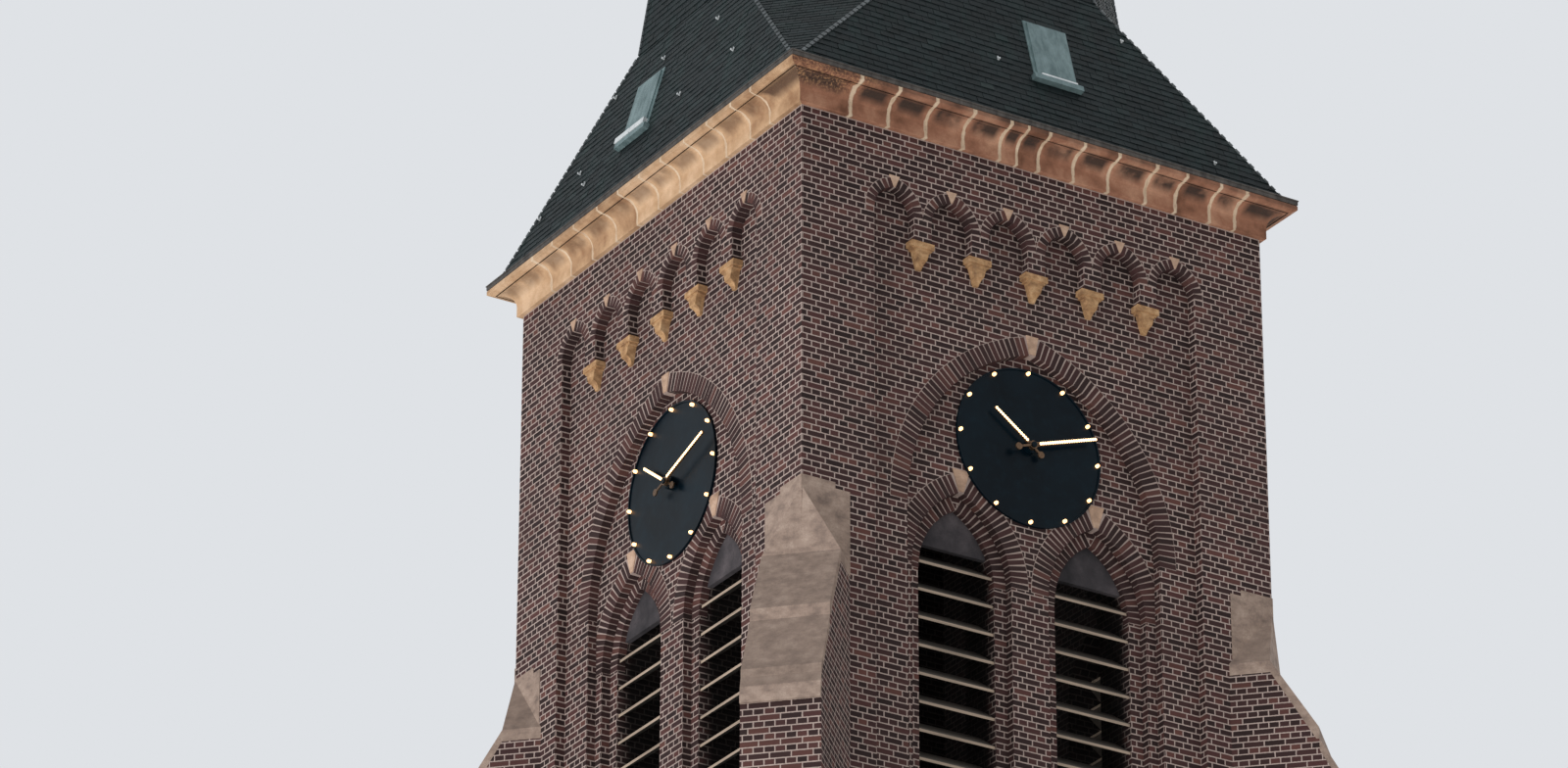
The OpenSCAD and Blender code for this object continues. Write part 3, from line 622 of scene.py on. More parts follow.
@dataclass(frozen=True)
class WeatheredBoards:
    """Sawn timber left to the weather: long grain, splits and a grey skin.

    The grain runs along x and y, the way that louvres and floors lie, and along z on an upright door. A
    board's narrow front edge is paler than its broad sides where edge gives it a colour: a painted highlight.
    """

    name: str
    light: str
    dark: str
    edge: str = ""
    upright: bool = False
    roughness: float = 0.8

    def make(self) -> bpy.types.Material:
        """Makes the material.

        Returns:
            The material.
        """
        s = Shade(self.name)
        stretch = (60.0, 60.0, 2.5) if self.upright else (3.0, 3.0, 90.0)
        grain = s.add("TexNoise", s.add("Mapping", s.place, scale=stretch), scale=1.0, detail=8.0)
        patches = s.add("TexNoise", s.place, scale=3.0, detail=4.0)
        mixed = s.add("MULTIPLY_ADD", s.add("SUBTRACT", patches, 0.5), 0.6, grain)
        colour = s.add("ValToRGB", mixed, stops={0.3: self.dark, 0.66: self.light})
        if self.edge:
            # painted highlight: the narrow front edge, where the light catches, is paler
            steep = s.add("ABSOLUTE", s.add("SeparateXYZ", s.side, out=2))
            lit_edge = s.add("MapRange", steep, 0.35, 0.25, 0.0, s.add("MapRange", mixed, 0.3, 0.66, 0.6, 1.0))
            colour = s.add("Mix:RGBA", lit_edge, colour, self.edge)
        return s.surface(grain, 0.0018, base_color=colour, roughness=self.roughness)


@dataclass(frozen=True)
class PaintedPanel:
    """Grey-mauve paint on a boarded panel, chalky with age: soft smudges of dust and no grain to see."""

    name: str = "chalky_paint"

    def make(self) -> bpy.types.Material:
        """Makes the material.

        Returns:
            The material.
        """
        s = Shade(self.name)
        smudges = s.add("TexNoise", s.place, scale=5.5, detail=5.0, roughness=0.6)
        colour = s.add("ValToRGB", smudges, stops={0.3: "#312f32", 0.5: "#464245", 0.72: "#625b5e"})
        fine = s.add("TexNoise", s.place, scale=90.0, detail=3.0)
        colour = s.add("Mix:RGBA", s.add("MapRange", fine, 0.45, 0.7, 0.0, 0.3), colour, "#312f32")
        return s.surface(fine, 0.0008, base_color=colour, roughness=0.9, specular_ior_level=0.25)


@dataclass(frozen=True)
class StoveEnamel:
    """Stove enamel on copper, dulled by weather: deep blue-black with a faint waviness."""

    name: str = "stove_enamel"

    def make(self) -> bpy.types.Material:
        """Makes the material.

        Returns:
            The material.
        """
        s = Shade(self.name)
        waves = s.add("TexNoise", s.place, scale=4.0, detail=2.0)
        dust = s.add("TexNoise", s.place, scale=22.0, detail=6.0)
        colour = s.add("ValToRGB", waves, stops={0.3: "#030c13", 0.7: "#071720"})
        colour = s.add("Mix:RGBA", s.add("MapRange", dust, 0.5, 0.85, 0.0, 0.3), colour, "#122a35")
        return s.surface(waves, 0.004, 0.5, base_color=colour, roughness=0.3, specular_ior_level=0.1)


@dataclass(frozen=True)
class LampGlass:
    """Small warm lamps: a bright middle in amber glass."""

    name: str
    colour: str
    strength: float

    def make(self) -> bpy.types.Material:
        """Makes the material.

        Returns:
            The material.
        """
        s = Shade(self.name)
        fine = s.add("TexNoise", s.place, scale=220.0, detail=2.0)
        glow = s.add("Mix:RGBA", s.add("MapRange", fine, 0.4, 0.65, 0.0, 0.5), self.colour, "#fff0d0")
        glowing = {"emission_color": glow, "emission_strength": self.strength}
        return s.surface(base_color="#ffd79a", roughness=0.25, **glowing)


@dataclass(frozen=True)
class SatinAluminium:
    """Extruded aluminium, satin anodised: a soft metallic sheen with drawn lines."""

    name: str = "hand_aluminium"

    def make(self) -> bpy.types.Material:
        """Makes the material.

        Returns:
            The material.
        """
        s = Shade(self.name)
        lines = s.add("TexNoise", s.place, scale=160.0, detail=3.0)
        rough = s.add("MapRange", lines, 0.3, 0.7, 0.3, 0.5)
        colour = s.add("ValToRGB", lines, stops={0.3: "#4a3a2e", 0.7: "#84674d"})
        return s.surface(lines, 0.0006, base_color=colour, metallic=0.8, roughness=rough)


@dataclass(frozen=True)
class LeadedGlass:
    """Old crown glass in lead: dark panes of slightly different tilt, 60 mm wide and 75 mm high."""

    name: str = "leaded_glass"
    pane: tuple[float, float] = (0.06, 0.075)

    def make(self) -> bpy.types.Material:
        """Makes the material.

        Returns:
            The material.
        """
        s = Shade(self.name)
        wide, high = self.pane
        cell = s.add("VectorMath:DIVIDE", s.place, (wide, wide, high))
        part = s.add("VectorMath:FRACTION", cell)
        gaps = [s.add("PINGPONG", s.add("SeparateXYZ", part, out=i), 0.5) for i in range(3)]
        lead = s.add("LESS_THAN", s.add("MINIMUM", s.add("MINIMUM", *gaps[:2]), gaps[2]), 0.05)
        pane = s.add("TexWhiteNoise", s.add("VectorMath:FLOOR", cell))
        glass = s.add("ValToRGB", pane, stops={0.0: "#10181c", 0.6: "#1b262a", 1.0: "#33424a"})
        colour = s.add("Mix:RGBA", lead, glass, "#3c4042")
        rough = s.add("MapRange", lead, 0.0, 1.0, 0.12, 0.6)
        relief = s.add("MULTIPLY_ADD", pane, 0.2, lead)
        metal = s.add("MULTIPLY", lead, 0.4)
        return s.surface(relief, 0.003, base_color=colour, roughness=rough, metallic=metal)


# Brickwork


@dataclass(frozen=True)
class Arch:
    """A pointed arch at x, with its springing, half span and rise, and the ring of bricks over it.

    The ring reaches from depth to back into the wall and comes a lip into the opening and in front of the
    wall. It leaves room at the crown for a keystone whose foot is twice key wide.
    """

    x: float
    spring: float
    half: float
    rise: float
    ring: float
    depth: float
    back: float
    key: float
    pitch: float = 0.0352
    lip: float = 0.003
    mortar: float = 0.001
    bed_points: int = 26

    @property
    def radius(self) -> float:
        """Radius of both arcs: (half^2 + rise^2) / (2 half)."""
        return (self.half**2 + self.rise**2) / (2 * self.half)

    def bricks(self, rng: np.random.Generator) -> Blocks:
        """Lays the ring: equal steps of angle along each arc from the springing to the keystone.

        Args:
            rng: Source of the small differences between bricks.

        Returns:
            The bricks, on the front face.
        """
        inner, outer = self.radius - self.lip, self.radius + self.ring
        centre = self.half - self.radius
        end = math.acos((self.key - centre) / self.radius)
        length = end * (self.radius + self.ring / 2)
        count = round(length / self.pitch)
        angle = np.tile((np.arange(count) + 0.5) * end / count, 2)
        side = np.repeat([1.0, -1.0], count)
        none, cos, sin = np.zeros_like(angle), np.cos(angle), np.sin(angle)
        proud = self.lip + rng.uniform(-0.0012, 0.0012, 2 * count)
        reach = (inner + outer) / 2 + rng.uniform(-0.001, 0.001, 2 * count)
        width = (length / count - JOINT) / 2 + rng.uniform(-0.0006, 0.0006, 2 * count)
        thick = (self.back - self.depth + proud) / 2
        x = self.x + side * (centre + reach * cos)
        middles = np.stack([x, self.depth - proud + thick - HALF_W, self.spring + reach * sin], -1)
        axes = [[side * cos, none, sin], [-sin, none, side * cos], [none, none + 1, none]]
        halves = np.stack([none + (outer - inner) / 2, width, thick], -1)
        return Blocks(middles, np.transpose(axes, (2, 0, 1)), halves, rng.uniform(0, 1, 2 * count))

    def bed(self) -> tuple[np.ndarray, np.ndarray]:
        """Carries the mortar behind the ring, a rectangle of ring by depth, along both arcs.

        Returns:
            Vertices and faces, on the front face.
        """
        centre = self.half - self.radius
        inner, outer = self.radius - self.mortar, self.radius + self.ring + self.lip
        radii = np.array([inner, outer, outer, inner])
        y = np.repeat([self.depth - self.mortar, self.back], 2) - HALF_W
        angle = np.linspace(0, math.acos(-centre / self.radius), self.bed_points)[:, None]
        ends = np.array([[0, 1, 2, 3], [3, 2, 1, 0]]) + [[0], [4 * (self.bed_points - 1)]]
        one = np.concatenate([grid_faces(self.bed_points, 4, round_columns=True), ends])
        arcs = []
        for side in (1, -1):
            x = self.x + side * (centre + radii * np.cos(angle))
            points = np.stack(np.broadcast_arrays(x, y, self.spring + radii * np.sin(angle)), -1)
            arcs.append((points.reshape(-1, 3), one[:, ::side]))
        return joined(arcs)


@dataclass
class Brickwork:
    """Walls and buttresses in cross bond, and a ring of bricks over every arch."""

    seed: int = 11
    bays: int = 6
    bay_pitch: float = 0.366
    bay_spring: float = WALL_TOP - 0.489
    great_spring: float = WALL_TOP - 2.139
    lancet_x: float = 0.432
    lancet_spring: float = WALL_TOP - 2.460
    lancet_half: float = 0.315
    lancet_rise: float = 0.480
    order_w: float = 0.075
    chamfer: float = 0.002

    def arches(self) -> list[Arch]:
        """Lists the arches of one face.

        Returns:
            The small arches of the frieze, the great arch and both orders of the two lancets.
        """
        found = []
        for i in range(self.bays):
            x = (i - (self.bays - 1) / 2) * self.bay_pitch
            sizes = {"half": 0.1285, "rise": 0.150, "ring": 0.054, "key": 0.004}
            found.append(Arch(x, self.bay_spring, depth=0.0, back=PANEL, **sizes))
        sizes = {"half": 0.807, "rise": 1.059, "ring": 0.105, "key": 0.018}
        found.append(Arch(0.0, self.great_spring, depth=PANEL, back=FIELD, **sizes))
        for x in (-self.lancet_x, self.lancet_x):
            outer = Arch(
                x, self.lancet_spring, self.lancet_half, self.lancet_rise,
                ring=0.107, depth=FIELD, back=ORDER, key=0.014,
            )
            half, radius = self.lancet_half - self.order_w, outer.radius - self.order_w
            rise = math.sqrt(radius**2 - (radius - half) ** 2)
            inner = Arch(
                x, self.lancet_spring, half, rise,
                ring=self.order_w, depth=ORDER, back=ORDER + 0.05, key=0.001,
            )
            found += [outer, inner]
        return found

    def build(self) -> None:
        """Dresses the walls and lays the rings."""
        wall = FacingBrick("facing_brick").make()
        slanted = FacingBrick("buttress_brick", math.pi / 4).make()
        for face in Face:
            dress(wall, f"{face.word}_lower_wall", f"{face.word}_belfry_wall")
        corners = ("front_left", "front_right", "back_right", "back_left")
        dress(slanted, *(f"{corner}_buttress" for corner in corners))
        rng = np.random.default_rng(self.seed)
        brick, mortar = LooseBrick().make(), LimeMortar().make()
        points, faces = joined([arch.bed() for arch in self.arches()])
        for face in Face:
            bricks = Blocks.join([arch.bricks(rng) for arch in self.arches()])
            bricks.on(face).add(f"{face.word}_arch_bricks", self.chamfer, brick, "brick")
            add_mesh(f"{face.word}_arch_mortar", face.turned(points), [faces], mortar, "brick")


# Stone


@dataclass
class Stonework:
    """Plinth, string courses, sills, copings, corbels, keystones and the panels in the arch heads."""

    ledge: float = WALL_TOP - 3.572

    def build(self) -> None:
        """Dresses the stone nodes."""
        pale = SawnStone("sawn_sandstone", "#c4ae9f", "#a89284", "#806d63", 0.25, bed=11.0, slopes=0.5)
        dress(pale.make(), "plinth", "string_courses", "lancet_sills", "doorway_surround")
        dress(SawnStone("rubbed_sandstone", "#e0c2ab", "#c3a28b", "#8f7564", 0.2).make(), "keystones")
        coping = SawnStone("coping_sandstone", "#bfaa9c", "#a28d80", "#786860", 0.25, 11.0, 0.3, self.ledge)
        dress(coping.make(), "buttress_copings")
        dress(SawnStone("ochre_sandstone", "#e3bf95", "#bb9268", "#755640", 0.4, bed=18.0).make(), "corbels")
        dress(PaintedPanel().make(), "arch_head_panels")


@dataclass
class Cornice:
    """The moulded stone cornice in blocks with wide mortar joints, and the metal gutter on it.

    Its section goes up from the wall: a band, a hollow, a step, a splay and the top band. The places of
    the joints are measured along a face from its middle, one set for the front and right and one for the
    rest, and their widths are in the same order.
    """

    seed: int = 23
    band: float = 0.028
    band_h: float = 0.064
    hollow: float = 0.084
    step: float = 0.008
    splay_z: float = 0.161
    reach: float = 0.156
    arris: float = 0.002
    tail: float = 0.02
    rained_joints: tuple[float, ...] = (
        -1.21, -0.97, -0.73, -0.49, -0.25, -0.14, 0.0, 0.23, 0.46, 0.71, 0.91, 1.14, 1.31,
    )
    lee_joints: tuple[float, ...] = (-1.13, -0.91, -0.67, -0.41, -0.18, 0.05, 0.28, 0.53, 0.77, 1.02, 1.22)
    widths: tuple[float, float] = (0.016, 0.009)
    set_back: float = 0.0006
    bead: float = 0.0055

    def profile(self) -> np.ndarray:
        """The section as (reach beyond the wall, height); the hollow is a quarter circle.

        Returns:
            Points from the back of the underside round to the back of the top.
        """
        turn = np.linspace(math.pi, math.pi / 2, 9)
        soffit, top = self.band_h + self.hollow, CORNICE_TOP - WALL_TOP
        centre = [self.band + self.hollow, self.band_h]
        quarter = centre + self.hollow * np.stack([np.cos(turn), np.sin(turn)], -1)
        low = [
            [-self.tail, 0], [self.band - self.arris, 0],
            [self.band, self.arris], [self.band, self.band_h - self.arris],
        ]
        high = [
            [self.band + self.hollow + self.step, soffit],
            [self.reach - self.arris, self.splay_z - self.arris], [self.reach, self.splay_z],
            [self.reach, top - self.arris], [self.reach - self.arris, top], [-self.tail, top],
        ]
        return np.concatenate([low, quarter, high]) + [0.0, WALL_TOP]

    def blocks(self, face: Face, rng: np.random.Generator, material: bpy.types.Material) -> None:
        """Carries the section along a side in blocks; a block's end at the wall's end is the mitre there.

        Args:
            face: The side's face.
            rng: Source of the small differences between blocks.
            material: The blocks' material.
        """
        section = self.profile()
        m, shaded_rained = len(section), face in (Face.FRONT, Face.RIGHT)
        edges = np.array([-HALF_W, *(self.rained_joints if shaded_rained else self.lee_joints), HALF_W])
        gap = self.widths[0 if shaded_rained else 1] / 2
        ends = np.stack([edges[:-1] + gap, edges[1:] - gap], -1)
        ends[0, 0], ends[-1, 1] = -HALF_W, HALF_W
        count = len(ends)
        out = HALF_W + section[:, 0]
        x = np.where(np.abs(ends)[..., None] >= HALF_W, np.sign(ends)[..., None] * out, ends[..., None])
        y = rng.uniform(-0.001, 0.0, count)[:, None, None] - out
        points = np.stack(np.broadcast_arrays(x, y, section[:, 1]), -1).reshape(-1, 3)
        walls = repeated(grid_faces(2, m, round_columns=True), count, 2 * m)
        caps = repeated(np.stack([np.arange(m), np.arange(2 * m)[:m - 1 : -1]]), count, 2 * m)
        marks = np.tile([-1.0, 1.0], count)
        # the mitres are cut stone against stone, with no mortar wiped over them
        marks[[0, -1]] *= 0.8
        tones = np.repeat(rng.uniform(0, 1, count), 2 * m)
        add_mesh(
            f"{face.word}_cornice",
            face.turned(points),
            [walls[:, ::-1], caps[:, ::-1]],
            material,
            "cornice_stone",
            instead_of=("cornice",), tone=tones, end=np.repeat(marks, m),
        )

    def ring(
        self, name: str, section: np.ndarray, material: bpy.types.Material, slot: str, *nodes: str
    ) -> None:
        """Carries a closed section right round the tower with mitred corners.

        Args:
            name: The piece's name.
            section: (reach, height) points, turning outwards from the back of the underside.
            material: Its material.
            slot: A slot name, passed on to add_mesh.
            nodes: Nodes that it stands for.
        """
        out = HALF_W + section[:, 0]
        signs = ((-1, -1), (1, -1), (1, 1), (-1, 1))
        corners = [np.stack([sx * out, sy * out, section[:, 1]], -1) for sx, sy in signs]
        faces = grid_faces(4, len(section), round_rows=True, round_columns=True)
        add_mesh(name, np.concatenate(corners), [faces[:, ::-1]], material, slot, instead_of=nodes)

    def build(self) -> None:
        """Makes the blocks, the mortar in their joints, and the gutter with its rolled bead."""
        rng = np.random.default_rng(self.seed)
        # the front and right faces get a darker, grimier copy of the stone than the left and back: painted
        # shade, with weathering
        shaded_rained = MouldedStone(
            "weathered_sandstone", "#c6977b", "#a4735b", "#734d3a", "#332b27", 0.95, speckled=True
        )
        lee = MouldedStone("cream_sandstone", "#e4c2a0", "#cba682", "#a17b5c", "#4a352b", 0.55)
        shaded_rained, lee = shaded_rained.make(), lee.make()
        for face in Face:
            self.blocks(face, rng, shaded_rained if face in (Face.FRONT, Face.RIGHT) else lee)
        mortar = SawnStone("cornice_mortar", "#ecd9c0", "#dcc4a8", "#b99e84", 0.1).make()
        joint = self.profile() - [self.set_back, 0.0]
        joint[:, 1] = joint[:, 1].clip(WALL_TOP + self.set_back, CORNICE_TOP - self.set_back)
        self.ring("cornice_joints", joint, mortar, "cornice_stone")
        turn = np.linspace(-math.pi / 2, math.pi, 8)
        bead = self.bead * np.stack([np.cos(turn), np.sin(turn)], -1) + [0.1565, 0.0305]
        front = [[0.126, 0.0], [0.150, 0.0], [0.1565, 0.004], [0.158, 0.012], [0.1575, 0.024]]
        back = [[0.150, 0.030], [0.150, 0.012], [0.144, 0.006], [0.126, 0.006]]
        zinc = SheetMetal("gutter_zinc", "#645e59", "#2e2b29", 0.5, 0.5).make()
        sheet = np.concatenate([front, bead, back]) + [0.0, CORNICE_TOP]
        self.ring("gutter_sheet", sheet, zinc, "lead", "gutter")


# Roof


@dataclass(frozen=True)
class Slope:
    """One flat face of the roof: its foot, directions along the eaves and up, length and half widths."""

    foot: np.ndarray
    along: np.ndarray
    up: np.ndarray
    length: float
    half_low: float
    half_high: float

    @property
    def out(self) -> np.ndarray:
        """The direction that the face looks in."""
        return np.cross(self.along, self.up)

    def half(self, s: np.ndarray) -> np.ndarray:
        """Half the width at a distance up the slope: a straight line from foot to head."""
        return self.half_low + (self.half_high - self.half_low) * s / self.length


@dataclass
class SlateRoof:
    """Slates in courses on the lower roof and the spire, with lead along the hips."""

    gauge: float = 0.042
    lap: float = 1.5
    width: float = 0.088
    gap: float = 0.0022
    thick: float = 0.0065
    least: tuple[float, float] = (0.012, 0.01)
    lead_cap_h: float = 0.7
    hip_end: float = 0.02
    hip_off: float = 0.005
    hip_half: tuple[float, float, float] = (0.011, 0.0165, 0.0045)
    seed: int = 5

    def slopes(self) -> tuple[list[Slope], list[Slope]]:
        """Lists the faces of the lower roof and of the spire.

        Returns:
            The lower roof's eight faces, and the spire's eight faces.
        """
        side = NECK_R * math.tan(math.pi / 8)
        tip = self.lead_cap_h / (TIP_Z - NECK_Z)
        lower, spire = [], []
        for k in range(8):
            turn = k * math.pi / 4
            outward = np.array([math.sin(turn), -math.cos(turn), 0.0])
            along = np.array([math.cos(turn), math.sin(turn), 0.0])
            eaves, half = (EAVES * math.sqrt(2), 0.0) if k % 2 else (EAVES, EAVES)
            for low_r, low_z, high_r, high_z, half_low, half_high, found in (
                (eaves, CORNICE_TOP, NECK_R, NECK_Z, half, side, lower),
                (NECK_R, NECK_Z, NECK_R * tip, TIP_Z - self.lead_cap_h, side, side * tip, spire),
            ):
                foot = outward * low_r + [0.0, 0.0, low_z]
                rise = outward * high_r + [0.0, 0.0, high_z] - foot
                length = float(np.linalg.norm(rise))
                found.append(Slope(foot, along, rise / length, length, half_low, half_high))
        return lower, spire

    def slates(
        self, slopes: list[Slope], rng: np.random.Generator
    ) -> tuple[np.ndarray, np.ndarray, np.ndarray]:
        """Lays slates: rows at every gauge, half a slate over in every other row, cut to the hips.

        Args:
            slopes: The faces.
            rng: Source of the small differences.

        Returns:
            Vertices, faces and tones.
        """
        points, tones = [], []
        for slope in slopes:
            most = int(2 * max(slope.half_low, slope.half_high) / self.width) + 3
            row, column = (a.ravel() for a in np.indices((int(slope.length / self.gauge) + 1, most)))
            low = row * self.gauge + rng.uniform(-0.0012, 0.0012, len(row))
            high = np.minimum(low + self.gauge * self.lap, slope.length)
            left = (column - most // 2 + 0.5 * (row % 2)) * self.width
            corners = [
                np.clip(x, -slope.half(s), slope.half(s))
                for s in (low, high)
                for x in (left, left + self.width - self.gap)
            ]
            keep = (corners[1] - corners[0] > self.least[0]) & (high - low > self.least[1])
            l0, r0, l1, r1, low, high = (a[keep] for a in (*corners, low, high))
            lift = self.thick + rng.uniform(-0.0012, 0.0016, len(low))
            tip = rng.uniform(-0.0008, 0.0008, len(low))
            under, over = np.full_like(low, -0.002), np.full_like(low, 0.001)
            # the corners in the order of CORNERS: left and right, foot and head, underside and top
            grid = [
                (l0, low, 0 * low), (l0, low, lift + tip), (l1, high, under), (l1, high, over),
                (r0, low, 0 * low), (r0, low, lift - tip), (r1, high, under), (r1, high, over),
            ]
            local = np.transpose(grid, (2, 0, 1))
            points.append((slope.foot + local @ np.stack([slope.along, slope.up, slope.out])).reshape(-1, 3))
            tones.append(np.repeat(rng.beta(2.0, 3.0, len(low)), 8))
        count = sum(len(tone) for tone in tones) // 8
        return np.concatenate(points), repeated(SIDES, count, 8), np.concatenate(tones)

    def hips(self, slopes: list[Slope], rng: np.random.Generator) -> Blocks:
        """Lays small lead pieces, one a course, along the right-hand edge of each face.

        Args:
            slopes: The faces.
            rng: Source of the small differences.

        Returns:
            The lead pieces.
        """
        parts = []
        for slope, other in zip(slopes, slopes[1:] + slopes[:1]):
            step = np.arange(self.hip_end, slope.length - self.hip_end, self.gauge)
            edge = slope.foot + slope.along * slope.half(step)[:, None] + slope.up * step[:, None]
            line = slope.up * slope.length + slope.along * (slope.half_high - slope.half_low)
            line = line / np.linalg.norm(line)
            out = slope.out + other.out
            out = out / np.linalg.norm(out)
            axes = np.tile(np.stack([np.cross(out, line), line, out]), (len(step), 1, 1))
            halves = np.tile(self.hip_half, (len(step), 1))
            parts.append(Blocks(edge + out * self.hip_off, axes, halves, rng.uniform(0, 1, len(step))))
        return Blocks.join(parts)

    def build(self) -> None:
        """Lays both roofs and dresses what lies under the slates."""
        rng = np.random.default_rng(self.seed)
        slate = RivenSlate().make()
        lead = SheetMetal("hip_lead", "#5f6567", "#34393b", 0.55, 0.4).make()
        for name, node, slopes in zip(("roof", "spire"), ("lower_roof", "spire"), self.slopes()):
            points, faces, tones = self.slates(slopes, rng)
            add_mesh(f"{name}_slates", points, [faces], slate, "slate", tone=tones)
            self.hips(slopes, rng).add(f"{name}_hip_lead", 0.0, lead, "lead")
            dress(SheetMetal(f"{node}_felt", "#1c2224", "#101415", 0.8, 0.0).make(), node)


@dataclass
class RoofFittings:
    """Hatches with their bright sills, the slaters' hooks and the finial.

    A hook's place is its height over the wall and its distance along the face from the middle. A sill
    strip has one height a face and runs from one distance to another.
    """

    hooks: tuple[tuple[float, float], ...] = (
        (0.50, -1.24), (0.50, -0.74), (0.63, -0.85), (0.64, 0.24),
        (0.66, 0.80), (1.07, -0.67), (1.08, -0.14), (1.05, 0.46),
    )
    front_hooks: tuple[tuple[float, float], ...] = ((0.34, 1.14), (0.64, -0.24), (1.07, 0.67))
    sill_z: tuple[float, ...] = (0.585, 0.60, 0.60, 0.622)
    sills: tuple[tuple[tuple[float, float], ...], ...] = (
        ((0.026, 0.264),), ((-0.12, 0.12),), ((-0.12, 0.12),), ((-0.42, -0.265), (-0.258, -0.108)),
    )
    strap_off: float = 0.011
    tip_off: float = 0.018
    sill_off: float = 0.022
    sill_half: tuple[float, float] = (0.02, 0.018)
    strap_half: tuple[float, float, float] = (0.003, 0.014, 0.004)
    tip_half: tuple[float, float, float] = (0.005, 0.005, 0.01)

    def on_slope(self, x: float, height: float, off: float, half: tuple[float, float, float]) -> Blocks:
        """Lays a block on the lower roof's front slope: reach = eaves - slope * (z - eaves height).

        Args:
            x: Distance along the face from its middle.
            height: Height of the block's middle over the wall.
            off: How far the middle stands off the slates.
            half: Half sizes along the eaves, up the slope and out of it.

        Returns:
            The block.
        """
        slope = (EAVES - NECK_R) / (NECK_Z - CORNICE_TOP)
        lean = math.atan(slope)
        out = np.array([0.0, -math.cos(lean), math.sin(lean)])
        up = [0.0, math.sin(lean), math.cos(lean)]
        z = WALL_TOP + height
        middle = np.array([x, slope * (z - CORNICE_TOP) - EAVES, z]) + out * off
        return Blocks(middle[None], np.array([[[1.0, 0.0, 0.0], up, out]]), np.array([half]), np.array([0.5]))

    def build(self) -> None:
        """Dresses the hatches and the finial and sets the hooks and sill strips."""
        dress(SheetMetal("hatch_lead", "#7f9496", "#4f6466", 0.55, 0.3).make(), "roof_hatches")
        dress(SheetMetal("finial_lead", "#6e7477", "#43484a", 0.5, 0.6).make(), "finial")
        bright = SheetMetal("galvanised_steel", "#eceff0", "#b7bec1", 0.35, 0.3).make()
        hooks, sills = [], []
        for face, height, strips in zip(Face, self.sill_z, self.sills):
            for z, x in self.front_hooks if face is Face.FRONT else self.hooks:
                hooks.append(self.on_slope(x, z, self.strap_off, self.strap_half).on(face))
                hooks.append(self.on_slope(x, z - 0.01, self.tip_off, self.tip_half).on(face))
            for left, right in strips:
                half = ((right - left) / 2, *self.sill_half)
                sills.append(self.on_slope((left + right) / 2, height, self.sill_off, half).on(face))
        Blocks.join(hooks).add("roof_hooks", 0.0015, bright, "lead")
        Blocks.join(sills).add("hatch_sills", 0.003, bright, "lead")


# Belfry, clock and doorway


@dataclass
class Belfry:
    """The louvre boards, the floors of the hollow tower and the slit windows' glass."""

    def build(self) -> None:
        """Dresses the louvres, floors and glass."""
        boards = WeatheredBoards("grey_oak", "#4f473f", "#332e29", edge="#b9a592").make()
        dress(boards, *(f"{face.word}_louvres" for face in Face))
        dress(WeatheredBoards("pine_floor", "#a98c66", "#6e5536").make(), "belfry_floor", "middle_floor")
        dress(SawnStone("stone_flags", "#a9a298", "#8f887e", "#6a645c", 0.1).make(), "ground_floor")
        dress(LeadedGlass().make(), "window_glass")


@dataclass
class Clock:
    """The dials, the twelve lamps on each and the two hands with their rows of lamps.

    A hand is its name, its angle clockwise from twelve, the depth of its back, the end of its row of
    lamps from the pivot and how far a lamp's glass stands out of the bar.
    """

    hands: tuple[tuple[str, float, float, float, float], ...] = (
        ("minute", math.radians(72), 0.0627, 0.427, 0.004),
        ("hour", math.radians(306), 0.0777, 0.291, 0.0015),
    )
    blade: float = 0.013
    row_start: float = 0.034
    lamp_pitch: float = 0.0165
    lamp_r: float = 0.0095
    rings: int = 6
    around: int = 8

    def studs(self, angle: float, depth: float, last: float, bulge: float) -> tuple[np.ndarray, np.ndarray]:
        """Sets a row of round lamps along a hand, each a flattened ball on a grid of latitude and longitude.

        Args:
            angle: The hand's angle, clockwise from twelve.
            depth: Depth of the lamp bar's outer side.
            last: Where the row ends, from the pivot.
            bulge: How far a lamp's glass stands out of the bar.

        Returns:
            Vertices and faces, on the front face.
        """
        count = round((last - self.row_start) / self.lamp_pitch)
        reach = np.linspace(self.row_start + self.lamp_r, last - self.lamp_r, count)
        turn = np.linspace(0, 2 * math.pi, self.around, endpoint=False)
        rise = np.linspace(-math.pi / 2, math.pi / 2, self.rings)[:, None]
        parts = np.cos(rise) * np.cos(turn), -np.sin(rise), np.cos(rise) * np.sin(turn)
        ball = np.stack(np.broadcast_arrays(*parts), -1).reshape(-1, 3) * [self.lamp_r, bulge, self.lamp_r]
        middle = np.outer(reach, [math.sin(angle), 0.0, math.cos(angle)]) + [0.0, depth - HALF_W, DIAL_Z]
        faces = repeated(grid_faces(self.rings, self.around, round_columns=True), count, len(ball))
        return (middle[:, None] + ball).reshape(-1, 3), faces

    def build(self) -> None:
        """Dresses the clock and lights the hands."""
        dress(StoveEnamel().make(), "clock_dials")
        dress(LampGlass("dial_lamp_glass", "#ffb060", 3.2).make(), "dial_lamps")
        metal = SatinAluminium().make()
        glass = LampGlass("hand_lamp_glass", "#ffc888", 3.0).make()
        for face in Face:
            for hand, angle, back, last, bulge in self.hands:
                node = f"{face.word}_{hand}_hand"
                dress(metal, node)
                points, faces = self.studs(angle, back - self.blade, last, bulge)
                points = face.turned(points)
                add_mesh(f"{node}_lamps", points, [faces], glass, "lamp_glass", body=node, smooth=True)


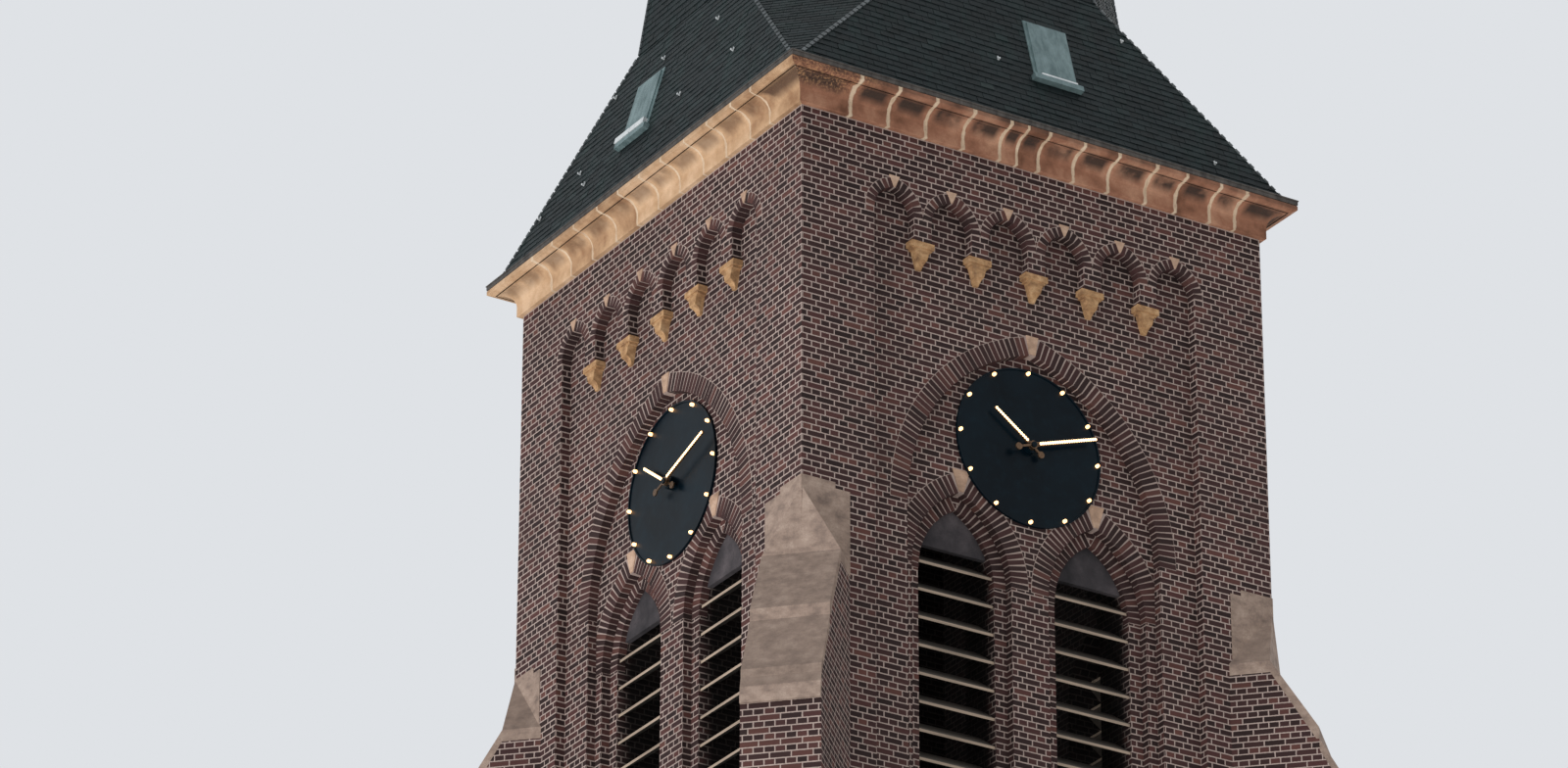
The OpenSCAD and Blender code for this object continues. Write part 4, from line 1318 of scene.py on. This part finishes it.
@dataclass
class Doorway:
    """The boarded door with its strap hinges, studs, lock plate and ring.

    A half size is across the door, out of it and up.
    """

    face: float = 0.2 - HALF_W
    strap_z: tuple[float, ...] = (0.38, 0.95, 1.42)
    strap_x: float = 0.24
    strap_half: tuple[float, float, float] = (0.165, 0.005, 0.02)
    end_x: float = 0.07
    end_half: tuple[float, float, float] = (0.012, 0.006, 0.032)
    stud_x: tuple[float, ...] = (0.11, 0.19, 0.27, 0.35)
    stud_half: tuple[float, float, float] = (0.008, 0.005, 0.008)
    plate_half: tuple[float, float, float] = (0.03, 0.006, 0.05)
    lock: tuple[float, float] = (0.05, 0.98)
    ring_at: tuple[float, float] = (0.05, 0.95)
    ring_r: tuple[float, float] = (0.035, 0.005)

    def ironwork(self) -> Blocks:
        """Lays out the straps, their forked ends, the studs and the lock plate.

        Returns:
            The iron parts.
        """
        x, z = self.lock
        parts = [((x, self.face - 0.005, z), self.plate_half)]
        for side in (-1.0, 1.0):
            for z in self.strap_z:
                parts.append(((side * self.strap_x, self.face - 0.004, z), self.strap_half))
                parts.append(((side * self.end_x, self.face - 0.004, z), self.end_half))
                parts += [((side * x, self.face - 0.009, z), self.stud_half) for x in self.stud_x]
        middles, halves = np.array(parts).transpose(1, 0, 2)
        return Blocks(middles, np.tile(np.eye(3), (len(parts), 1, 1)), halves, np.full(len(parts), 0.5))

    def build(self) -> None:
        """Dresses the door and hangs the ironwork on it; the ring is a circle carried round a circle."""
        dress(WeatheredBoards("oiled_oak", "#4b3626", "#22170f", upright=True, roughness=0.6).make(), "door")
        iron = SheetMetal("wrought_iron", "#2a2a2b", "#121213", 0.55, 0.7).make()
        self.ironwork().add("door_ironwork", 0.002, iron, "lead")
        large, small = self.ring_r
        around = np.linspace(0, 2 * math.pi, 24, endpoint=False)[:, None]
        tube = np.linspace(0, 2 * math.pi, 8, endpoint=False)
        reach = large + small * np.cos(tube)
        y = self.face - 0.016 - small * np.sin(tube)
        x, z = self.ring_at
        x, z = x + reach * np.cos(around), z + reach * np.sin(around)
        ring = np.stack(np.broadcast_arrays(x, y, z), -1)
        faces = grid_faces(24, 8, round_rows=True, round_columns=True)
        add_mesh("door_ring", ring.reshape(-1, 3), [faces[:, ::-1]], iron, "lead", smooth=True)


# Studio


@dataclass
class Studio:
    """Pale floor, plain soft light and the camera at the photograph's viewing angle."""

    place: tuple[float, float, float] = (-17.569, -27.313, 0.803)
    yaw: float = math.radians(58.27)
    pitch: float = math.radians(26.0)
    roll: float = math.radians(0.12)
    lens: float = 148.47
    floor_r: float = 90.0
    lamp_angle: float = math.radians(35)

    def camera(self) -> None:
        """Sets the camera from its place, direction and roll."""
        ahead = Vector((math.cos(self.yaw), math.sin(self.yaw), 0.0))
        right = Vector((math.sin(self.yaw), -math.cos(self.yaw), 0.0))
        up = Vector((0.0, 0.0, 1.0))
        look = math.cos(self.pitch) * ahead + math.sin(self.pitch) * up
        head = -math.sin(self.pitch) * ahead + math.cos(self.pitch) * up
        across = math.cos(self.roll) * right + math.sin(self.roll) * head
        head = -math.sin(self.roll) * right + math.cos(self.roll) * head
        data = bpy.data.cameras.new("camera")
        data.sensor_width, data.lens, data.clip_end = 36.0, self.lens, 400.0
        seen = bpy.data.objects.new("camera", data)
        turn = Matrix((across, head, -look)).transposed()
        seen.matrix_world = Matrix.Translation(self.place) @ turn.to_4x4()
        bpy.context.scene.collection.objects.link(seen)
        bpy.context.scene.camera = seen

    def floor(self) -> None:
        """Lays the pale floor as a gently toned disc that the low lamp shines past."""
        s = Shade("studio_floor")
        tone = s.add("TexNoise", s.place, scale=0.4, detail=2.0)
        colour = s.add("ValToRGB", tone, stops={0.3: "#ecece9", 0.7: "#f2f2f0"})
        mesh = bpy.data.meshes.new("studio_floor")
        turn = np.linspace(0, 2 * math.pi, 64, endpoint=False)
        ring = np.stack([self.floor_r * np.cos(turn), self.floor_r * np.sin(turn), np.full(64, -0.001)], -1)
        mesh.from_pydata(ring.tolist(), [], [list(range(64))])
        mesh.materials.append(s.surface(base_color=colour, roughness=0.9))
        disc = bpy.data.objects.new("studio_floor", mesh)
        disc.visible_shadow = False
        bpy.context.scene.collection.objects.link(disc)

    def light(self) -> None:
        """Sets three broad soft lamps and a world that is pale to the eye and even as light.

        The key comes from low on the left, one lamp from overhead and a weak one from behind on the right.
        """
        for name, energy, towards in (
            ("key", 1.7, (0.82, 0.12, 0.5)),
            ("overhead", 0.9, (0.15, 0.15, -0.95)),
            ("behind", 0.5, (-0.7, -0.6, -0.35)),
        ):
            data = bpy.data.lights.new(name, "SUN")
            data.energy, data.angle = energy, self.lamp_angle
            lamp = bpy.data.objects.new(name, data)
            lamp.rotation_euler = Vector(towards).to_track_quat("-Z", "Y").to_euler()
            bpy.context.scene.collection.objects.link(lamp)
        world = bpy.data.worlds.new("studio")
        bpy.context.scene.world = world
        s = Nodes(world)
        rays = ("Glossy", "Transmission", "Camera")
        glossy, through, eye = (s.add("LightPath", out=f"Is {ray} Ray") for ray in rays)
        seen = s.add("MAXIMUM", eye, s.add("MAXIMUM", glossy, through))
        light, backdrop = s.add("Background", "#ffffff", 0.45), s.add("Background", "#dfe2e6", 1.0)
        s.add("OutputWorld", s.add("MixShader", seen, light, backdrop))

    def build(self) -> None:
        """Makes the floor, the lights and the camera."""
        self.camera()
        self.floor()
        self.light()
        bpy.context.scene.view_settings.view_transform = "Standard"


def main() -> None:
    """Builds each sub-assembly in order."""
    logging.basicConfig(level=logging.INFO, format="%(name)s %(message)s")
    for part in (
        Studio(), Brickwork(), Stonework(), Cornice(), SlateRoof(),
        RoofFittings(), Belfry(), Clock(), Doorway(),
    ):
        LOG.info("building %s", type(part).__name__)
        part.build()


if __name__ == "__main__":
    main()
